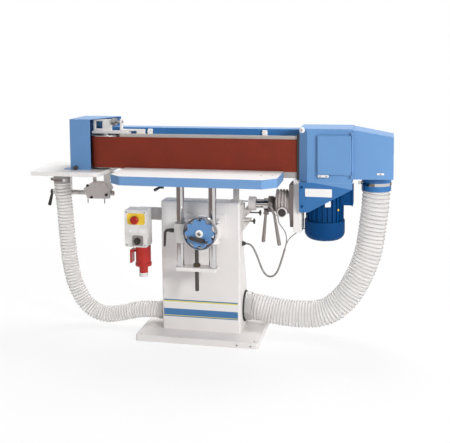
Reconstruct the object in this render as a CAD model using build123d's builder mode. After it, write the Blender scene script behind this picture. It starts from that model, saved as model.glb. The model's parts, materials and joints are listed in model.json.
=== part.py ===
from build123d import *
import os
from math import cos, pi, radians, sin, tan

os.makedirs("parts", exist_ok=True)

# Edge sander with a lift table, a tilting belt unit and two extraction hoses.
# Millimetres, X towards the motor, Y to the back, Z up, origin under the middle of the base plate.

# Gaps
run_gap = 0.05
free_gap = 0.3

# Base plate
base_w = 585.0
base_d = 464.0
base_t = 30.0
base_corner_r = 10.0
base_hole_r = 7.0
base_hole_inset = 22.0
front_hole_r = 5.0
front_hole_depth = 18.0
front_hole_x = 225.0
front_hole_pitch = 64.0
front_hole_z = 11.0

# Folded column
col_w = 382.0
col_h = 626.0
col_front_y = -124.0
col_neck_d = 84.0
col_neck_h = 186.0
col_foot_d = 234.0
col_heel_h = 30.0
col_sheet = 4.0
col_fold_r = 10.0

# Extraction hoses: crest, root and bore radii, then the ribs
big_hose_r = 64.0
big_root_r = 61.5
big_bore_r = 59.0
big_rib_count = 24
small_hose_r = 40.5
small_root_r = 38.5
small_bore_r = 37.5
small_rib_count = 26
hose_tuck = 6.0
hose_cuff = 40.0
big_entry_y = 0.0
big_entry_z = 125.0
small_entry_y = -50.0
small_entry_z = 95.0
grommet_wall = 5.0
grommet_flange = 6.0
grommet_lip = 5.0

# Dust manifold inside the column, with its outlet at the back
manifold_w = 240.0
manifold_y0 = -95.0
manifold_back_gap = 12.0
manifold_h = 176.0
manifold_sheet = 2.5
outlet_r = 70.0
outlet_wall = 3.0
outlet_end_y = 200.0
outlet_sleeve_l = 88.0
outlet_step = 1.5
outlet_z = 130.0

# Tilt pivot
pivot_y = -60.0
pivot_drop = 14.0
pivot_shaft_r = 22.0
bracket_plate_t = 12.0
bracket_plate_d = 62.0
bracket_plate_h = 124.0
bracket_plate_drop = 2.0
bracket_web_h = 40.0
bracket_web_t = 16.0
bracket_boss_r = 33.0
bracket_boss_l = 32.0
bracket_reach = 34.0
ledge_t = 8.0
ledge_l = 34.0
ledge_d = 48.0
ledge_drop = 68.0
gusset_h = 46.0
boss_floor = 6.0
shaft_collar_r = 28.0
shaft_collar_w = 20.0
shaft_collar_gap = 39.0
shaft_lug_drop = 50.0
shaft_lug_d = 20.0
shaft_lever_lean = 12.0
shaft_lever_l = 136.0

# Tilt hub
hub_gap = 2.0
hub_ear_r = 38.0
hub_ear_w = 24.0
hub_neck_r = 34.0
hub_neck_w = 14.0
hub_drum_r = 50.0
hub_drum_w = 64.0
hub_drum_rise = 14.0
hub_rib_r = 58.0
hub_rib_t = 6.0
hub_rib_count = 5
hub_flange_t = 18.0
hub_flange_w = 116.0
hub_flange_top = 103.0
hub_flange_drop = 102.0
hub_flange_foot_w = 40.0
hub_boss_r = 22.0
hub_boss_front = 60.0
hub_boss_drop = 26.0
hub_cap_r = 18.0
hub_cap_t = 8.0
hub_pin_rise = 6.0
hub_nub_x = 362.0
hub_nub_l = 18.0
hub_knee_dx = 20.0
hub_knee_drop = 48.0
hub_tip_dx = 43.0
hub_tip_drop = 187.0
lever_pin_r = 5.0
lever_eye_r = 11.0
lever_eye_t = 12.0
lever_root_r = 6.0
lever_tip_r = 9.0

# Stop post on the column's top
post_w = 24.0
post_d = 26.0
post_foot_w = 36.0
post_foot_t = 8.0
post_inset = 11.0
post_front = 2.0

# Tilt arm
arm_w = 38.0
arm_front = 44.0
arm_back = 80.0
arm_drop = 122.0
arm_shoulder = 56.0

# Main beam
beam_clear = 174.0
beam_d = 80.0
beam_h = 100.0
beam_wall = 5.0
beam_left = -340.0
cover_bracket_w = 24.0
cover_bracket_t = 6.0
cover_bracket_x = (-275.0, 291.0)
tension_foot_w = 38.0
tension_foot_h = 45.0
tension_arm_t = 8.0
tension_arm_d = 20.0
tension_arm_reach = 85.0
tension_lug_w = 10.0
tension_lug_h = 49.0

# Sanding belt, platen and drums
belt_w = 150.0
belt_length = 2600.0
belt_t = 1.2
belt_under_beam = 27.0
drum_r = 72.0
drum_margin = 3.0
drum_y = -32.5
drum_rim = 12.0
drum_web = 40.0
drum_hub_r = 26.0
platen_t = 7.0
platen_to_idler = 93.0
platen_h = 171.0
platen_below_belt = 5.0
platen_past_arm = 8.0
platen_bevel = 5.0
platen_skirt_w = 104.0
platen_skirt_h = 24.0
pad_t = 1.5
pad_inset = 2.0

# Drive
drive_to_arm = 101.0
motor_shaft_r = 14.0
motor_plate_t = 14.0
plate_under_belt = 29.0
motor_plate_hole_r = 26.0
motor_flange_r = 92.0
motor_flange_t = 12.0
motor_r = 80.0
motor_l = 190.0
motor_fin_r = 88.0
motor_fin_t = 3.0
motor_fin_count = 24
motor_fin_l = 172.0
motor_foot_t = 8.0
box_w = 70.0
box_d = 58.0
box_h = 70.0
box_bottom_rise = 42.0
box_from_axis = 55.0
box_nub_in = 18.0
cable_nub_r = 7.0
cable_nub_l = 12.0
side_box_reach = 131.0
side_box_w = 84.0
side_box_h = 86.0
side_box_rise = 92.0
side_box_lid_t = 6.0
side_box_lid_lap = 3.0
fan_cover_r = 93.0
fan_cover_l = 90.0
fan_cover_sheet = 2.5
fan_cover_lap = 15.0
fan_cover_round = 36.0
fan_slot_count = 12
fan_slot_l = 42.0
fan_slot_w = 7.0
fan_slot_out = 6.0
fan_r = 76.0
fan_t = 6.0
fan_rise = 36.0

# Drive hood, door and duct
hood_sheet = 3.0
hood_left_lap = 9.0
hood_right = 130.0
hood_h = 245.0
hood_lap = 12.0
hood_back_y = 85.0
hood_front_y = -140.0
hood_bevel_w = 38.0
hood_bevel_d = 28.0
hood_fold_r = 6.0
door_w = 150.0
door_h = 179.0
door_d = 13.6
door_sheet = 2.5
door_right_inset = 6.0
door_rise = 38.0
door_lap = 13.0
door_fold_r = 4.0
hinge_pin_r = 3.0
hinge_knuckle_r = 5.0
hinge_knuckle_l = 135.0
hinge_lug_w = 11.0
hinge_lug_h = 10.5
hinge_lug_gap = 1.5
duct_l = 180.0
duct_sheet = 2.5
duct_inset = 6.0
duct_end_d = 185.0
duct_end_h = 191.0
duct_rise = 18.0
duct_rim = 14.0
collar_wall = 3.0
collar_l = 68.0
collar_seat_l = 50.0
collar_to_hood = 104.0
clamp_t = 1.8
clamp_w = 14.0
clamp_block = 16.0
clamp_rise = 26.0
small_clamp_drop = 28.0

# Guards and covers
guard_sheet = 3.0
guard_drop = 142.0
guard_foot_w = 40.0
guard_right_drop = 28.0
guard_crease_w = 63.0
guard_tilt = 6.0
guard_return = 19.0
cover_sheet = 2.5
cover_left = -478.0
cover_rise = 37.0
cover_h = 199.0
cover_lip_gap = 2.0
cover_front_y = 0.0

# Belt tension
fork_d = 47.0
fork_front_y = -49.0
fork_arm_t = 12.0
fork_arm_gap = 6.0
fork_low_t = 6.0
fork_low_gap = 3.0
fork_to_beam = 34.0
fork_web_t = 12.0
fork_low_reach = 24.0
fork_top_reach = 65.0
tongue_l = 174.0
tongue_wall = 6.0
axle_r = 10.0
lug_t = 12.0
lug_y = -24.0
lug_w = 94.0
lug_h = 56.0
lug_window_w = 36.0
lug_window_h = 36.0
lug_window_inset = 11.0
tension_screw_r = 6.0
tension_screw_l = 58.0
tension_screw_rise = 44.0
tension_knob_r = 18.0
tension_knob_l = 22.0
tension_knob_x = 2.0

# Side table
aux_right = -470.0
aux_left_front = -815.0
aux_left_back = -855.0
aux_front_y = -205.0
aux_back_y = 135.0
aux_t = 20.0
aux_corner_r = 40.0
aux_under_belt = 13.0
aux_skin = 4.0
aux_slide = 60.0
aux_channel_w = 90.0
port_x = -724.0
port_flange_r = 47.0
port_flange_t = 17.7
port_spigot_l = 52.0
port_wall = 3.5
port_foot_w = 42.0
aux_bar_r = 12.5
aux_bar_y = 16.0
bar_clamp_wall = 8.0
aux_lever_lean = 18.0
aux_lever_l = 68.0
aux_bar_drop = 115.0
aux_bar_left = -800.0
aux_bar_right = -478.0
aux_stub_r = 5.0
aux_stub_l = 12.0
block_d = 66.0
block_ahead = 46.0
block_w = 134.0
block_h = 79.0
block_right = -486.0
block_below_bar = 21.0
block_cut_x = 40.0
block_cut_z = 30.0
post_r = 9.0
post_from_left = 43.0
strap_t = 20.0
strap_past_block = -2.0
strap_w = 26.0
strap_to_bar = 20.0
strap_h = 32.0
strap_gap = 2.0
strap_foot_w = 35.0
guard_left = -651.0
guard_panel_w = 105.0
guard_front_gap = 3.5
guard_back_y = 100.0
guard_back_w = 191.0
guard_h = 246.0
tongue_w = 34.0
tongue_d = 42.0
tongue_t = 3.0
inlet_slot_w = 60.0
inlet_slot_d = 40.0
inlet_slot_in = 12.0

# Table lift
lift_mid_x = 13.0
lift_y = -245.0
lift_pitch = 150.0
lift_column_r = 18.0
lift_column_l = 388.0
cross_w = 194.0
cross_d = 60.0
cross_t = 16.0
cross_corner_r = 8.0
lift_nut_r = 17.0
lift_nut_t = 14.0
screw_r = 9.0
screw_l = 308.0
screw_below_plate = 97.0
screw_gear_r = 21.7
gear_t = 16.0
gear_gap = 0.6
gear_room = 1.8
wheel_gear_r = 12.7
wheel_axis_drop = 104.0
wheel_shaft_r = 8.0
wheel_tail = 21.0
guide_flange_w = 220.0
guide_flange_h = 118.0
guide_flange_t = 10.0
guide_flange_top_drop = 56.0
guide_body_h = 88.0
guide_body_rise = 8.0
guide_sleeve_r = 30.0
guide_bridge_d = 34.0
guide_rib_w = 24.0
guide_box_w = 90.0
guide_box_left = 28.0
guide_box_front = 30.0
bush_wall = 4.0
bush_proud = 4.0
rim_r = 70.0
rim_bar_r = 7.0
rim_gap = 30.0
spoke_count = 3
spoke_w = 16.0
spoke_t = 8.0
wheel_hub_r = 21.0
wheel_hub_l = 30.0
disc_r = 55.0
disc_lobe_r = 11.0
disc_lobe_count = 10
disc_t = 16.0
crank_at_r = 46.0
crank_angle = -45.0
crank_lean = 12.0
crank_stand = 13.0
crank_pin_r = 3.0
crank_eye_r = 8.0
crank_eye_w = 12.0
crank_lug_r = 7.0
crank_lug_t = 5.0
crank_neck_r = 5.0
crank_neck_l = 12.0
crank_l = 74.0
crank_r = 11.0
crank_tip_r = 8.5
height_lever_drop = 38.0
height_lever_lean = 44.0
height_lever_l = 73.0
height_lever_hub_r = 10.0
height_lever_hub_l = 18.0
lever_stud_l = 7.0

# Table
table_left = -369.0
table_right = 394.0
table_front_y = -370.0
table_to_belt = 6.0
table_t = 41.0
table_clear = 109.0
table_cut_x = 60.0
table_cut_y = 53.0
table_edge_r = 4.0
table_skin = 14.0
table_rim = 16.0
table_rib = 12.0
table_boss_r = 30.0
table_rib_count = 3
fence_hole_r = 4.0
fence_hole_depth = 22.0
fence_hole_x = 336.0
fence_hole_y = -241.0
fence_hole_pitch = 50.0
fence_boss_r = 12.0
table_lever_x = -131.0
table_lever_y = -300.0
table_lever_boss_r = 14.0
table_lever_hub_r = 9.0
table_lever_hub_l = 20.0
table_lever_l = 29.0
table_lever_lean = 18.0
table_lever_drop = 16.0

# Controls on the stand
panel_w = 110.0
panel_d = 80.0
panel_h = 178.0
panel_gap = 49.0
panel_top_drop = 38.0
panel_arm_lap = 60.0
panel_corner_r = 6.0
panel_arm_t = 8.0
panel_arm_h = 60.0
estop_x = -298.0
estop_rise = 131.0
estop_head_r = 20.0
estop_head_t = 12.0
estop_stem_r = 10.0
estop_travel = 5.0
estop_stem_in = 12.0
switch_x = -285.0
switch_rise = 32.0
switch_r = 16.0
switch_t = 12.0
switch_bar_w = 9.0
switch_bar_t = 12.0
switch_stem_r = 6.0
switch_stem_l = 10.0
inlet_x = -272.0
inlet_r = 36.0
inlet_l = 80.0
inlet_rim_r = 39.0
inlet_rim_l = 15.0
inlet_sleeve_r = 21.0
inlet_sleeve_l = 54.0
inlet_bore_r = 16.0
inlet_bore_l = 40.0
lid_pin_r = 3.0
lid_pin_drop = 24.0
lid_pin_out = 10.0
lid_lug_w = 20.0
lid_ear_w = 9.0
lid_ear_r = 6.0
lid_w = 46.0
lid_h = 58.0
lid_t = 8.0

# Cables
gland_r = 12.0
gland_nut_l = 6.0
gland_l = 15.0
gland_tip_r = 9.0
gland_y = -65.0
gland_drop = 207.0
conduit_r = 5.0
cable_r = 2.4
cable_pitch = 5.2

# Places worked out from the sizes above
col_side_x = col_w / 2
col_top_z = base_t + col_h
col_back_y = col_front_y + col_foot_d
neck_back_y = col_front_y + col_neck_d
neck_z = col_top_z - col_neck_h
heel_z = base_t + col_heel_h
pivot_z = col_top_z - pivot_drop
boss_x0 = col_side_x + bracket_reach
boss_x1 = boss_x0 + bracket_boss_l
collar_x0 = boss_x1 + shaft_collar_gap
collar_x1 = collar_x0 + shaft_collar_w
hub_x0 = collar_x1 + hub_gap
hub_drum_x0 = hub_x0 + hub_ear_w + hub_neck_w
hub_flange_x0 = hub_drum_x0 + hub_drum_w
arm_x0 = hub_flange_x0 + hub_flange_t
arm_x1 = arm_x0 + arm_w
beam_z0 = col_top_z + beam_clear
beam_z1 = beam_z0 + beam_h
belt_z0 = beam_z0 - belt_under_beam
belt_z1 = belt_z0 + belt_w
platen_z0 = belt_z0 - platen_below_belt
drum_z0 = belt_z0 - drum_margin
drum_z1 = belt_z1 + drum_margin
belt_inner_r = drum_r + free_gap
belt_outer_r = belt_inner_r + belt_t
pad_front_y = drum_y - belt_inner_r + free_gap
platen_front_y = pad_front_y + pad_t
beam_front_y = platen_front_y + platen_t
beam_back_y = beam_front_y + beam_d
drive_x = arm_x1 + drive_to_arm
drum_span = (belt_length - 2 * pi * (belt_inner_r + belt_t / 2)) / 2
idler_x = drive_x - drum_span
plate_z1 = belt_z0 - plate_under_belt
plate_z0 = plate_z1 - motor_plate_t
hood_x0 = arm_x1 - hood_left_lap
hood_x1 = drive_x + hood_right
hood_z0 = plate_z1 - hood_lap
hood_z1 = hood_z0 + hood_h
table_z0 = col_top_z + table_clear
table_z1 = table_z0 + table_t
table_back_y = drum_y - belt_outer_r - table_to_belt
aux_z1 = belt_z0 - aux_under_belt
aux_z0 = aux_z1 - aux_t


def bar(start, end, radius, mode=Mode.ADD):
    """A round bar or bore between two points."""
    start = Vector(start)
    end = Vector(end)
    with Locations(Plane((start + end) / 2, z_dir=end - start).location):
        Cylinder(radius, (end - start).length, mode=mode)


def slab(low, high, mode=Mode.ADD):
    """A square block between two opposite corners."""
    size = Vector(high) - Vector(low)
    with Locations((Vector(low) + Vector(high)) / 2):
        Box(size.X, size.Y, size.Z, mode=mode)


def grip(start, end, root_r, tip_r):
    """A lever that swells from its root and ends in a blunt tip."""
    start = Vector(start)
    end = Vector(end)
    along = (end - start).normalized()
    with Locations(Plane((start + end) / 2, z_dir=along).location):
        Cone(root_r, tip_r, (end - start).length)
    with Locations(Plane(end + along * tip_r / 4, z_dir=along).location):
        Cone(tip_r, tip_r * 0.6, tip_r / 2)


def corner_radii(points):
    """The largest arc that the two runs beside each corner leave room for."""
    radii = []
    for before, corner, after in zip(points, points[1:], points[2:]):
        run_in = Vector(corner) - Vector(before)
        run_out = Vector(after) - Vector(corner)
        turn = radians(run_in.get_angle(run_out))
        radii.append(0.45 * min(run_in.length, run_out.length) / tan(turn / 2))
    return radii


def route(name, points):
    """Straight runs joined by arcs, with its radii printed."""
    radii = corner_radii(points)
    with BuildLine() as line:
        FilletPolyline(*points, radius=radii)
    print(name, "radii", [round(radius) for radius in radii])
    return line.wire()


def start_plane(path):
    """The plane square to a route at its start."""
    return Plane(path @ 0, z_dir=path % 0)


def compare_volume(name, part, area, path):
    """Print a tube's volume against its section times its length."""
    print(name, "volume ratio", round(part.volume / (area * path.length), 4))


# Base plate with its floor bolt holes and two tapped holes in the front edge
with BuildPart() as base_plate:
    with BuildSketch():
        RectangleRounded(base_w, base_d, base_corner_r)
        with GridLocations(base_w - 2 * base_hole_inset, base_d - 2 * base_hole_inset, 2, 2):
            Circle(base_hole_r, mode=Mode.SUBTRACT)
    extrude(amount=base_t)
    with BuildSketch(Plane.XZ.offset(base_d / 2)):
        with Locations((front_hole_x, front_hole_z)):
            with GridLocations(front_hole_pitch, 1, 2, 1):
                Circle(front_hole_r)
    extrude(amount=-front_hole_depth, mode=Mode.SUBTRACT)

# Column: a folded shell, narrow at the neck and deep at the foot
panel_x1 = -col_side_x - panel_gap
panel_x0 = panel_x1 - panel_w
panel_z1 = col_top_z - panel_top_drop
panel_back_y = col_front_y + col_fold_r
with BuildPart() as column:
    with BuildSketch(Plane.YZ.offset(-col_side_x)):
        with BuildLine():
            Polyline(
                (col_front_y, base_t),
                (col_front_y, col_top_z),
                (neck_back_y, col_top_z),
                (neck_back_y, neck_z),
                (col_back_y, heel_z),
                (col_back_y, base_t),
                close=True,
            )
        make_face()
    extrude(amount=col_w)
    fillet(column.edges().filter_by_position(Axis.Z, base_t + 1, col_top_z), col_fold_r)
    offset(amount=-col_sheet, openings=column.faces().sort_by(Axis.Z)[0])
    bar(
        (col_side_x - 3 * col_sheet, big_entry_y, big_entry_z),
        (col_side_x + col_sheet, big_entry_y, big_entry_z),
        big_hose_r + grommet_wall,
        Mode.SUBTRACT,
    )
    bar(
        (-col_side_x - col_sheet, small_entry_y, small_entry_z),
        (-col_side_x + 3 * col_sheet, small_entry_y, small_entry_z),
        small_hose_r + grommet_wall,
        Mode.SUBTRACT,
    )
    bar(
        (0, 0, outlet_z),
        (0, outlet_end_y, outlet_z),
        outlet_r + outlet_step + free_gap,
        Mode.SUBTRACT,
    )
    slab(
        (panel_x1 - panel_arm_lap, panel_back_y, panel_z1 - panel_arm_h),
        (-col_side_x + col_sheet / 2, panel_back_y + panel_arm_t, panel_z1),
    )

# Dust manifold: a plenum that takes both hoses and leaves through the column's back
back_slope = (col_back_y - neck_back_y) / (neck_z - heel_z)
manifold_z1 = base_t + manifold_h
manifold_heel_y = col_back_y - manifold_back_gap
manifold_top_y = manifold_heel_y - back_slope * (manifold_z1 - heel_z)
manifold_profile = [
    (manifold_y0, base_t),
    (manifold_y0, manifold_z1),
    (manifold_top_y, manifold_z1),
    (manifold_heel_y, heel_z),
    (manifold_heel_y, base_t),
]
hose_end_x = col_side_x - hose_tuck
with BuildPart() as dust_manifold:
    with BuildSketch(Plane.YZ.offset(-manifold_w / 2)):
        with BuildLine():
            Polyline(*manifold_profile, close=True)
        make_face()
    extrude(amount=manifold_w)
    bar((0, big_entry_y, big_entry_z), (hose_end_x, big_entry_y, big_entry_z), big_hose_r)
    bar((-hose_end_x, small_entry_y, small_entry_z), (0, small_entry_y, small_entry_z), small_hose_r)
    bar((0, 0, outlet_z), (0, outlet_end_y - outlet_sleeve_l, outlet_z), outlet_r + outlet_step)
    bar((0, 0, outlet_z), (0, outlet_end_y, outlet_z), outlet_r)
    with BuildSketch(Plane.YZ.offset(manifold_sheet - manifold_w / 2)):
        with BuildLine():
            Polyline(*manifold_profile, close=True)
        make_face()
        offset(amount=-manifold_sheet, kind=Kind.INTERSECTION, mode=Mode.REPLACE)
    extrude(amount=manifold_w - 2 * manifold_sheet, mode=Mode.SUBTRACT)
    bar((0, big_entry_y, big_entry_z), (col_side_x, big_entry_y, big_entry_z), big_bore_r, Mode.SUBTRACT)
    bar(
        (-col_side_x, small_entry_y, small_entry_z),
        (0, small_entry_y, small_entry_z),
        small_bore_r,
        Mode.SUBTRACT,
    )
    bar((0, 0, outlet_z), (0, outlet_end_y + 1, outlet_z), outlet_r - outlet_wall, Mode.SUBTRACT)

# Rubber rings in the two hose holes
with BuildPart() as hose_grommets:
    for side, y, z, hose_r in (
        (1, big_entry_y, big_entry_z, big_hose_r),
        (-1, small_entry_y, small_entry_z, small_hose_r),
    ):
        inner_x = side * (col_side_x - col_sheet)
        outer_x = side * col_side_x
        lip_x = side * (col_side_x + grommet_lip)
        bar((inner_x, y, z), (outer_x, y, z), hose_r + grommet_wall - run_gap)
        bar((outer_x, y, z), (lip_x, y, z), hose_r + grommet_wall + grommet_flange)
        bar((inner_x, y, z), (lip_x, y, z), hose_r + free_gap, Mode.SUBTRACT)

# Tilt bracket on the column's side: foot plate, slanted web with the shaft's boss, ledge and gusset
foot_y = (col_front_y + neck_back_y) / 2
foot_x1 = col_side_x + bracket_plate_t
foot_z1 = col_top_z - col_fold_r - bracket_plate_drop
ledge_z1 = pivot_z - ledge_drop
web_x1 = boss_x1 - boss_floor
with BuildPart() as pivot_bracket:
    slab(
        (col_side_x, foot_y - bracket_plate_d / 2, foot_z1 - bracket_plate_h),
        (foot_x1, foot_y + bracket_plate_d / 2, foot_z1),
    )
    with BuildSketch(Plane.XZ.offset(-pivot_y)):
        with BuildLine():
            Polyline(
                (foot_x1, ledge_z1),
                (foot_x1, ledge_z1 + bracket_web_h),
                (boss_x0, pivot_z),
                (web_x1, pivot_z),
                (web_x1, pivot_z - pivot_shaft_r),
                close=True,
            )
        make_face()
    extrude(amount=bracket_web_t / 2, both=True)
    bar((boss_x0, pivot_y, pivot_z), (boss_x1, pivot_y, pivot_z), bracket_boss_r)
    slab(
        (foot_x1, foot_y - ledge_d / 2, ledge_z1 - ledge_t),
        (foot_x1 + ledge_l, foot_y + ledge_d / 2, ledge_z1),
    )
    with BuildSketch(Plane.XZ.offset(-foot_y)):
        with BuildLine():
            Polyline(
                (foot_x1, ledge_z1 - ledge_t),
                (foot_x1 + ledge_l, ledge_z1 - ledge_t),
                (foot_x1, ledge_z1 - ledge_t - gusset_h),
                close=True,
            )
        make_face()
    extrude(amount=ledge_t / 2, both=True)
    bar(
        (boss_x0 + boss_floor, pivot_y, pivot_z),
        (boss_x1, pivot_y, pivot_z),
        pivot_shaft_r + run_gap,
        Mode.SUBTRACT,
    )

# Pivot shaft with its clamp collar and the lug that carries a clamp lever
shaft_lever_x = (collar_x0 + collar_x1) / 2
shaft_lever_z = pivot_z - shaft_lug_drop + lever_eye_r
shaft_lug_y = pivot_y - shaft_lug_d / 2
shaft_eye_y = shaft_lug_y - free_gap
with BuildPart() as pivot_shaft:
    bar((boss_x0 + boss_floor, pivot_y, pivot_z), (arm_x0 - hub_gap, pivot_y, pivot_z), pivot_shaft_r)
    bar((collar_x0, pivot_y, pivot_z), (collar_x1, pivot_y, pivot_z), shaft_collar_r)
    slab(
        (collar_x0, shaft_lug_y, pivot_z - shaft_lug_drop),
        (collar_x1, pivot_y + shaft_lug_d / 2, pivot_z),
    )
    bar(
        (shaft_lever_x, shaft_lug_y, shaft_lever_z),
        (shaft_lever_x, shaft_eye_y - lever_eye_t, shaft_lever_z),
        lever_pin_r,
    )

# Lever that clamps the shaft's collar
with BuildPart() as shaft_lever:
    grip(
        (shaft_lever_x, shaft_eye_y - lever_eye_t / 2, shaft_lever_z),
        (shaft_lever_x - shaft_lever_lean, shaft_eye_y - lever_eye_t / 2, shaft_lever_z - shaft_lever_l),
        lever_root_r,
        lever_tip_r,
    )
    bar(
        (shaft_lever_x, shaft_eye_y, shaft_lever_z),
        (shaft_lever_x, shaft_eye_y - lever_eye_t, shaft_lever_z),
        lever_eye_r,
    )
    bar(
        (shaft_lever_x, shaft_eye_y + lever_tip_r, shaft_lever_z),
        (shaft_lever_x, shaft_eye_y - lever_eye_t - lever_tip_r, shaft_lever_z),
        lever_pin_r + run_gap,
        Mode.SUBTRACT,
    )

# Tilt hub: clamp ear, ribbed drum, tapered flange, front boss, lever pin and cable inlet
hub_drum_z = pivot_z + hub_drum_rise
hub_boss_x = hub_drum_x0 + hub_drum_w / 2
hub_boss_y = pivot_y - hub_boss_front
hub_boss_z = pivot_z - hub_boss_drop
hub_lever_x = hub_x0 + hub_ear_w / 2
hub_lever_z = pivot_z + hub_pin_rise
hub_eye_y = pivot_y - hub_ear_r - free_gap
hub_nub_z = hub_drum_z - hub_drum_r - hub_nub_l
switch_cable_y = gland_y - cable_pitch / 2
motor_cable_y = gland_y + cable_pitch / 2
hub_rib_step = (hub_drum_w - hub_rib_t) / (hub_rib_count - 1)
with BuildPart() as tilt_hub:
    bar((hub_x0, pivot_y, pivot_z), (hub_x0 + hub_ear_w, pivot_y, pivot_z), hub_ear_r)
    bar((hub_x0, pivot_y, pivot_z), (hub_drum_x0, pivot_y, pivot_z), hub_neck_r)
    bar((hub_drum_x0, pivot_y, hub_drum_z), (hub_flange_x0, pivot_y, hub_drum_z), hub_drum_r)
    for rib in range(hub_rib_count):
        rib_x = hub_drum_x0 + rib * hub_rib_step
        bar((rib_x, pivot_y, hub_drum_z), (rib_x + hub_rib_t, pivot_y, hub_drum_z), hub_rib_r)
    with BuildSketch(Plane.YZ.offset(hub_flange_x0)):
        with BuildLine():
            Polyline(
                (pivot_y - hub_flange_w / 2, pivot_z + hub_flange_top),
                (pivot_y + hub_flange_w / 2, pivot_z + hub_flange_top),
                (pivot_y + hub_flange_w / 2, pivot_z),
                (pivot_y + hub_flange_foot_w / 2, pivot_z - hub_flange_drop),
                (pivot_y - hub_flange_foot_w / 2, pivot_z - hub_flange_drop),
                (pivot_y - hub_flange_w / 2, pivot_z),
                close=True,
            )
        make_face()
    extrude(amount=hub_flange_t)
    bar((hub_boss_x, pivot_y, hub_boss_z), (hub_boss_x, hub_boss_y, hub_boss_z), hub_boss_r)
    bar(
        (hub_nub_x, switch_cable_y, hub_nub_z),
        (hub_nub_x, switch_cable_y, hub_drum_z),
        cable_nub_r,
    )
    bar(
        (hub_lever_x, pivot_y, hub_lever_z),
        (hub_lever_x, hub_eye_y - lever_eye_t, hub_lever_z),
        lever_pin_r,
    )
    bar((hub_x0, pivot_y, pivot_z), (arm_x0, pivot_y, pivot_z), pivot_shaft_r + run_gap, Mode.SUBTRACT)

# Dark cap on the hub's front boss
with BuildPart() as hub_cap:
    bar((hub_boss_x, hub_boss_y, hub_boss_z), (hub_boss_x, hub_boss_y - hub_cap_t, hub_boss_z), hub_cap_r)

# Cranked lever that clamps the hub on the shaft
hub_grip_y = hub_eye_y - lever_eye_t / 2
with BuildPart() as hub_lever:
    knee = (hub_lever_x + hub_knee_dx, hub_grip_y, hub_lever_z - hub_knee_drop)
    bar((hub_lever_x, hub_grip_y, hub_lever_z), knee, lever_root_r)
    grip(
        knee,
        (hub_lever_x + hub_tip_dx, hub_grip_y, hub_lever_z - hub_tip_drop),
        lever_root_r,
        lever_tip_r,
    )
    with Locations(knee):
        Sphere(lever_root_r)
    bar(
        (hub_lever_x, hub_eye_y, hub_lever_z),
        (hub_lever_x, hub_eye_y - lever_eye_t, hub_lever_z),
        lever_eye_r,
    )
    bar(
        (hub_lever_x, hub_eye_y + lever_tip_r, hub_lever_z),
        (hub_lever_x, hub_eye_y - lever_eye_t - lever_tip_r, hub_lever_z),
        lever_pin_r + run_gap,
        Mode.SUBTRACT,
    )

# Stop post on the column's top, which carries the platen's lower edge when the belt stands upright
post_x1 = col_side_x - post_inset
post_x0 = post_x1 - post_w
post_y0 = platen_front_y - post_front
with BuildPart() as stop_post:
    slab((post_x0, post_y0, col_top_z), (post_x1, post_y0 + post_d, platen_z0 - free_gap))
    slab((post_x1 - post_foot_w, post_y0, col_top_z), (post_x1, post_y0 + post_d, col_top_z + post_foot_t))

# Tilt arm: carries the beam and the motor plate
with BuildPart() as tilt_arm:
    with BuildSketch(Plane.YZ.offset(arm_x0)):
        with BuildLine():
            Polyline(
                (pivot_y - arm_front, pivot_z - arm_drop),
                (pivot_y + arm_back, pivot_z - arm_drop),
                (pivot_y + arm_back, beam_z0 - arm_shoulder),
                (beam_back_y, beam_z0 - arm_shoulder),
                (beam_back_y, beam_z0),
                (beam_front_y, beam_z0),
                (beam_front_y, beam_z0 - arm_shoulder),
                (pivot_y - arm_front, beam_z0 - arm_shoulder),
                close=True,
            )
        make_face()
    extrude(amount=arm_w)

# Plate under the drive hood, cut to the hood's plan, with the hole for the motor's shaft
hood_plan = [
    (hood_x0, hood_front_y + hood_bevel_d),
    (hood_x0 + hood_bevel_w, hood_front_y),
    (hood_x1, hood_front_y),
    (hood_x1, hood_back_y),
    (hood_x0, hood_back_y),
]
with BuildPart() as motor_plate:
    with BuildSketch(Plane.XY.offset(plate_z0)):
        with BuildLine():
            Polyline(*hood_plan, close=True)
        make_face()
        offset(amount=-hood_sheet, kind=Kind.INTERSECTION, mode=Mode.REPLACE)
    extrude(amount=motor_plate_t)
    slab((hood_x0, hood_front_y, plate_z0), (arm_x1, hood_back_y, plate_z1), Mode.SUBTRACT)
    bar((drive_x, drum_y, plate_z0), (drive_x, drum_y, plate_z1), motor_plate_hole_r, Mode.SUBTRACT)

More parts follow.
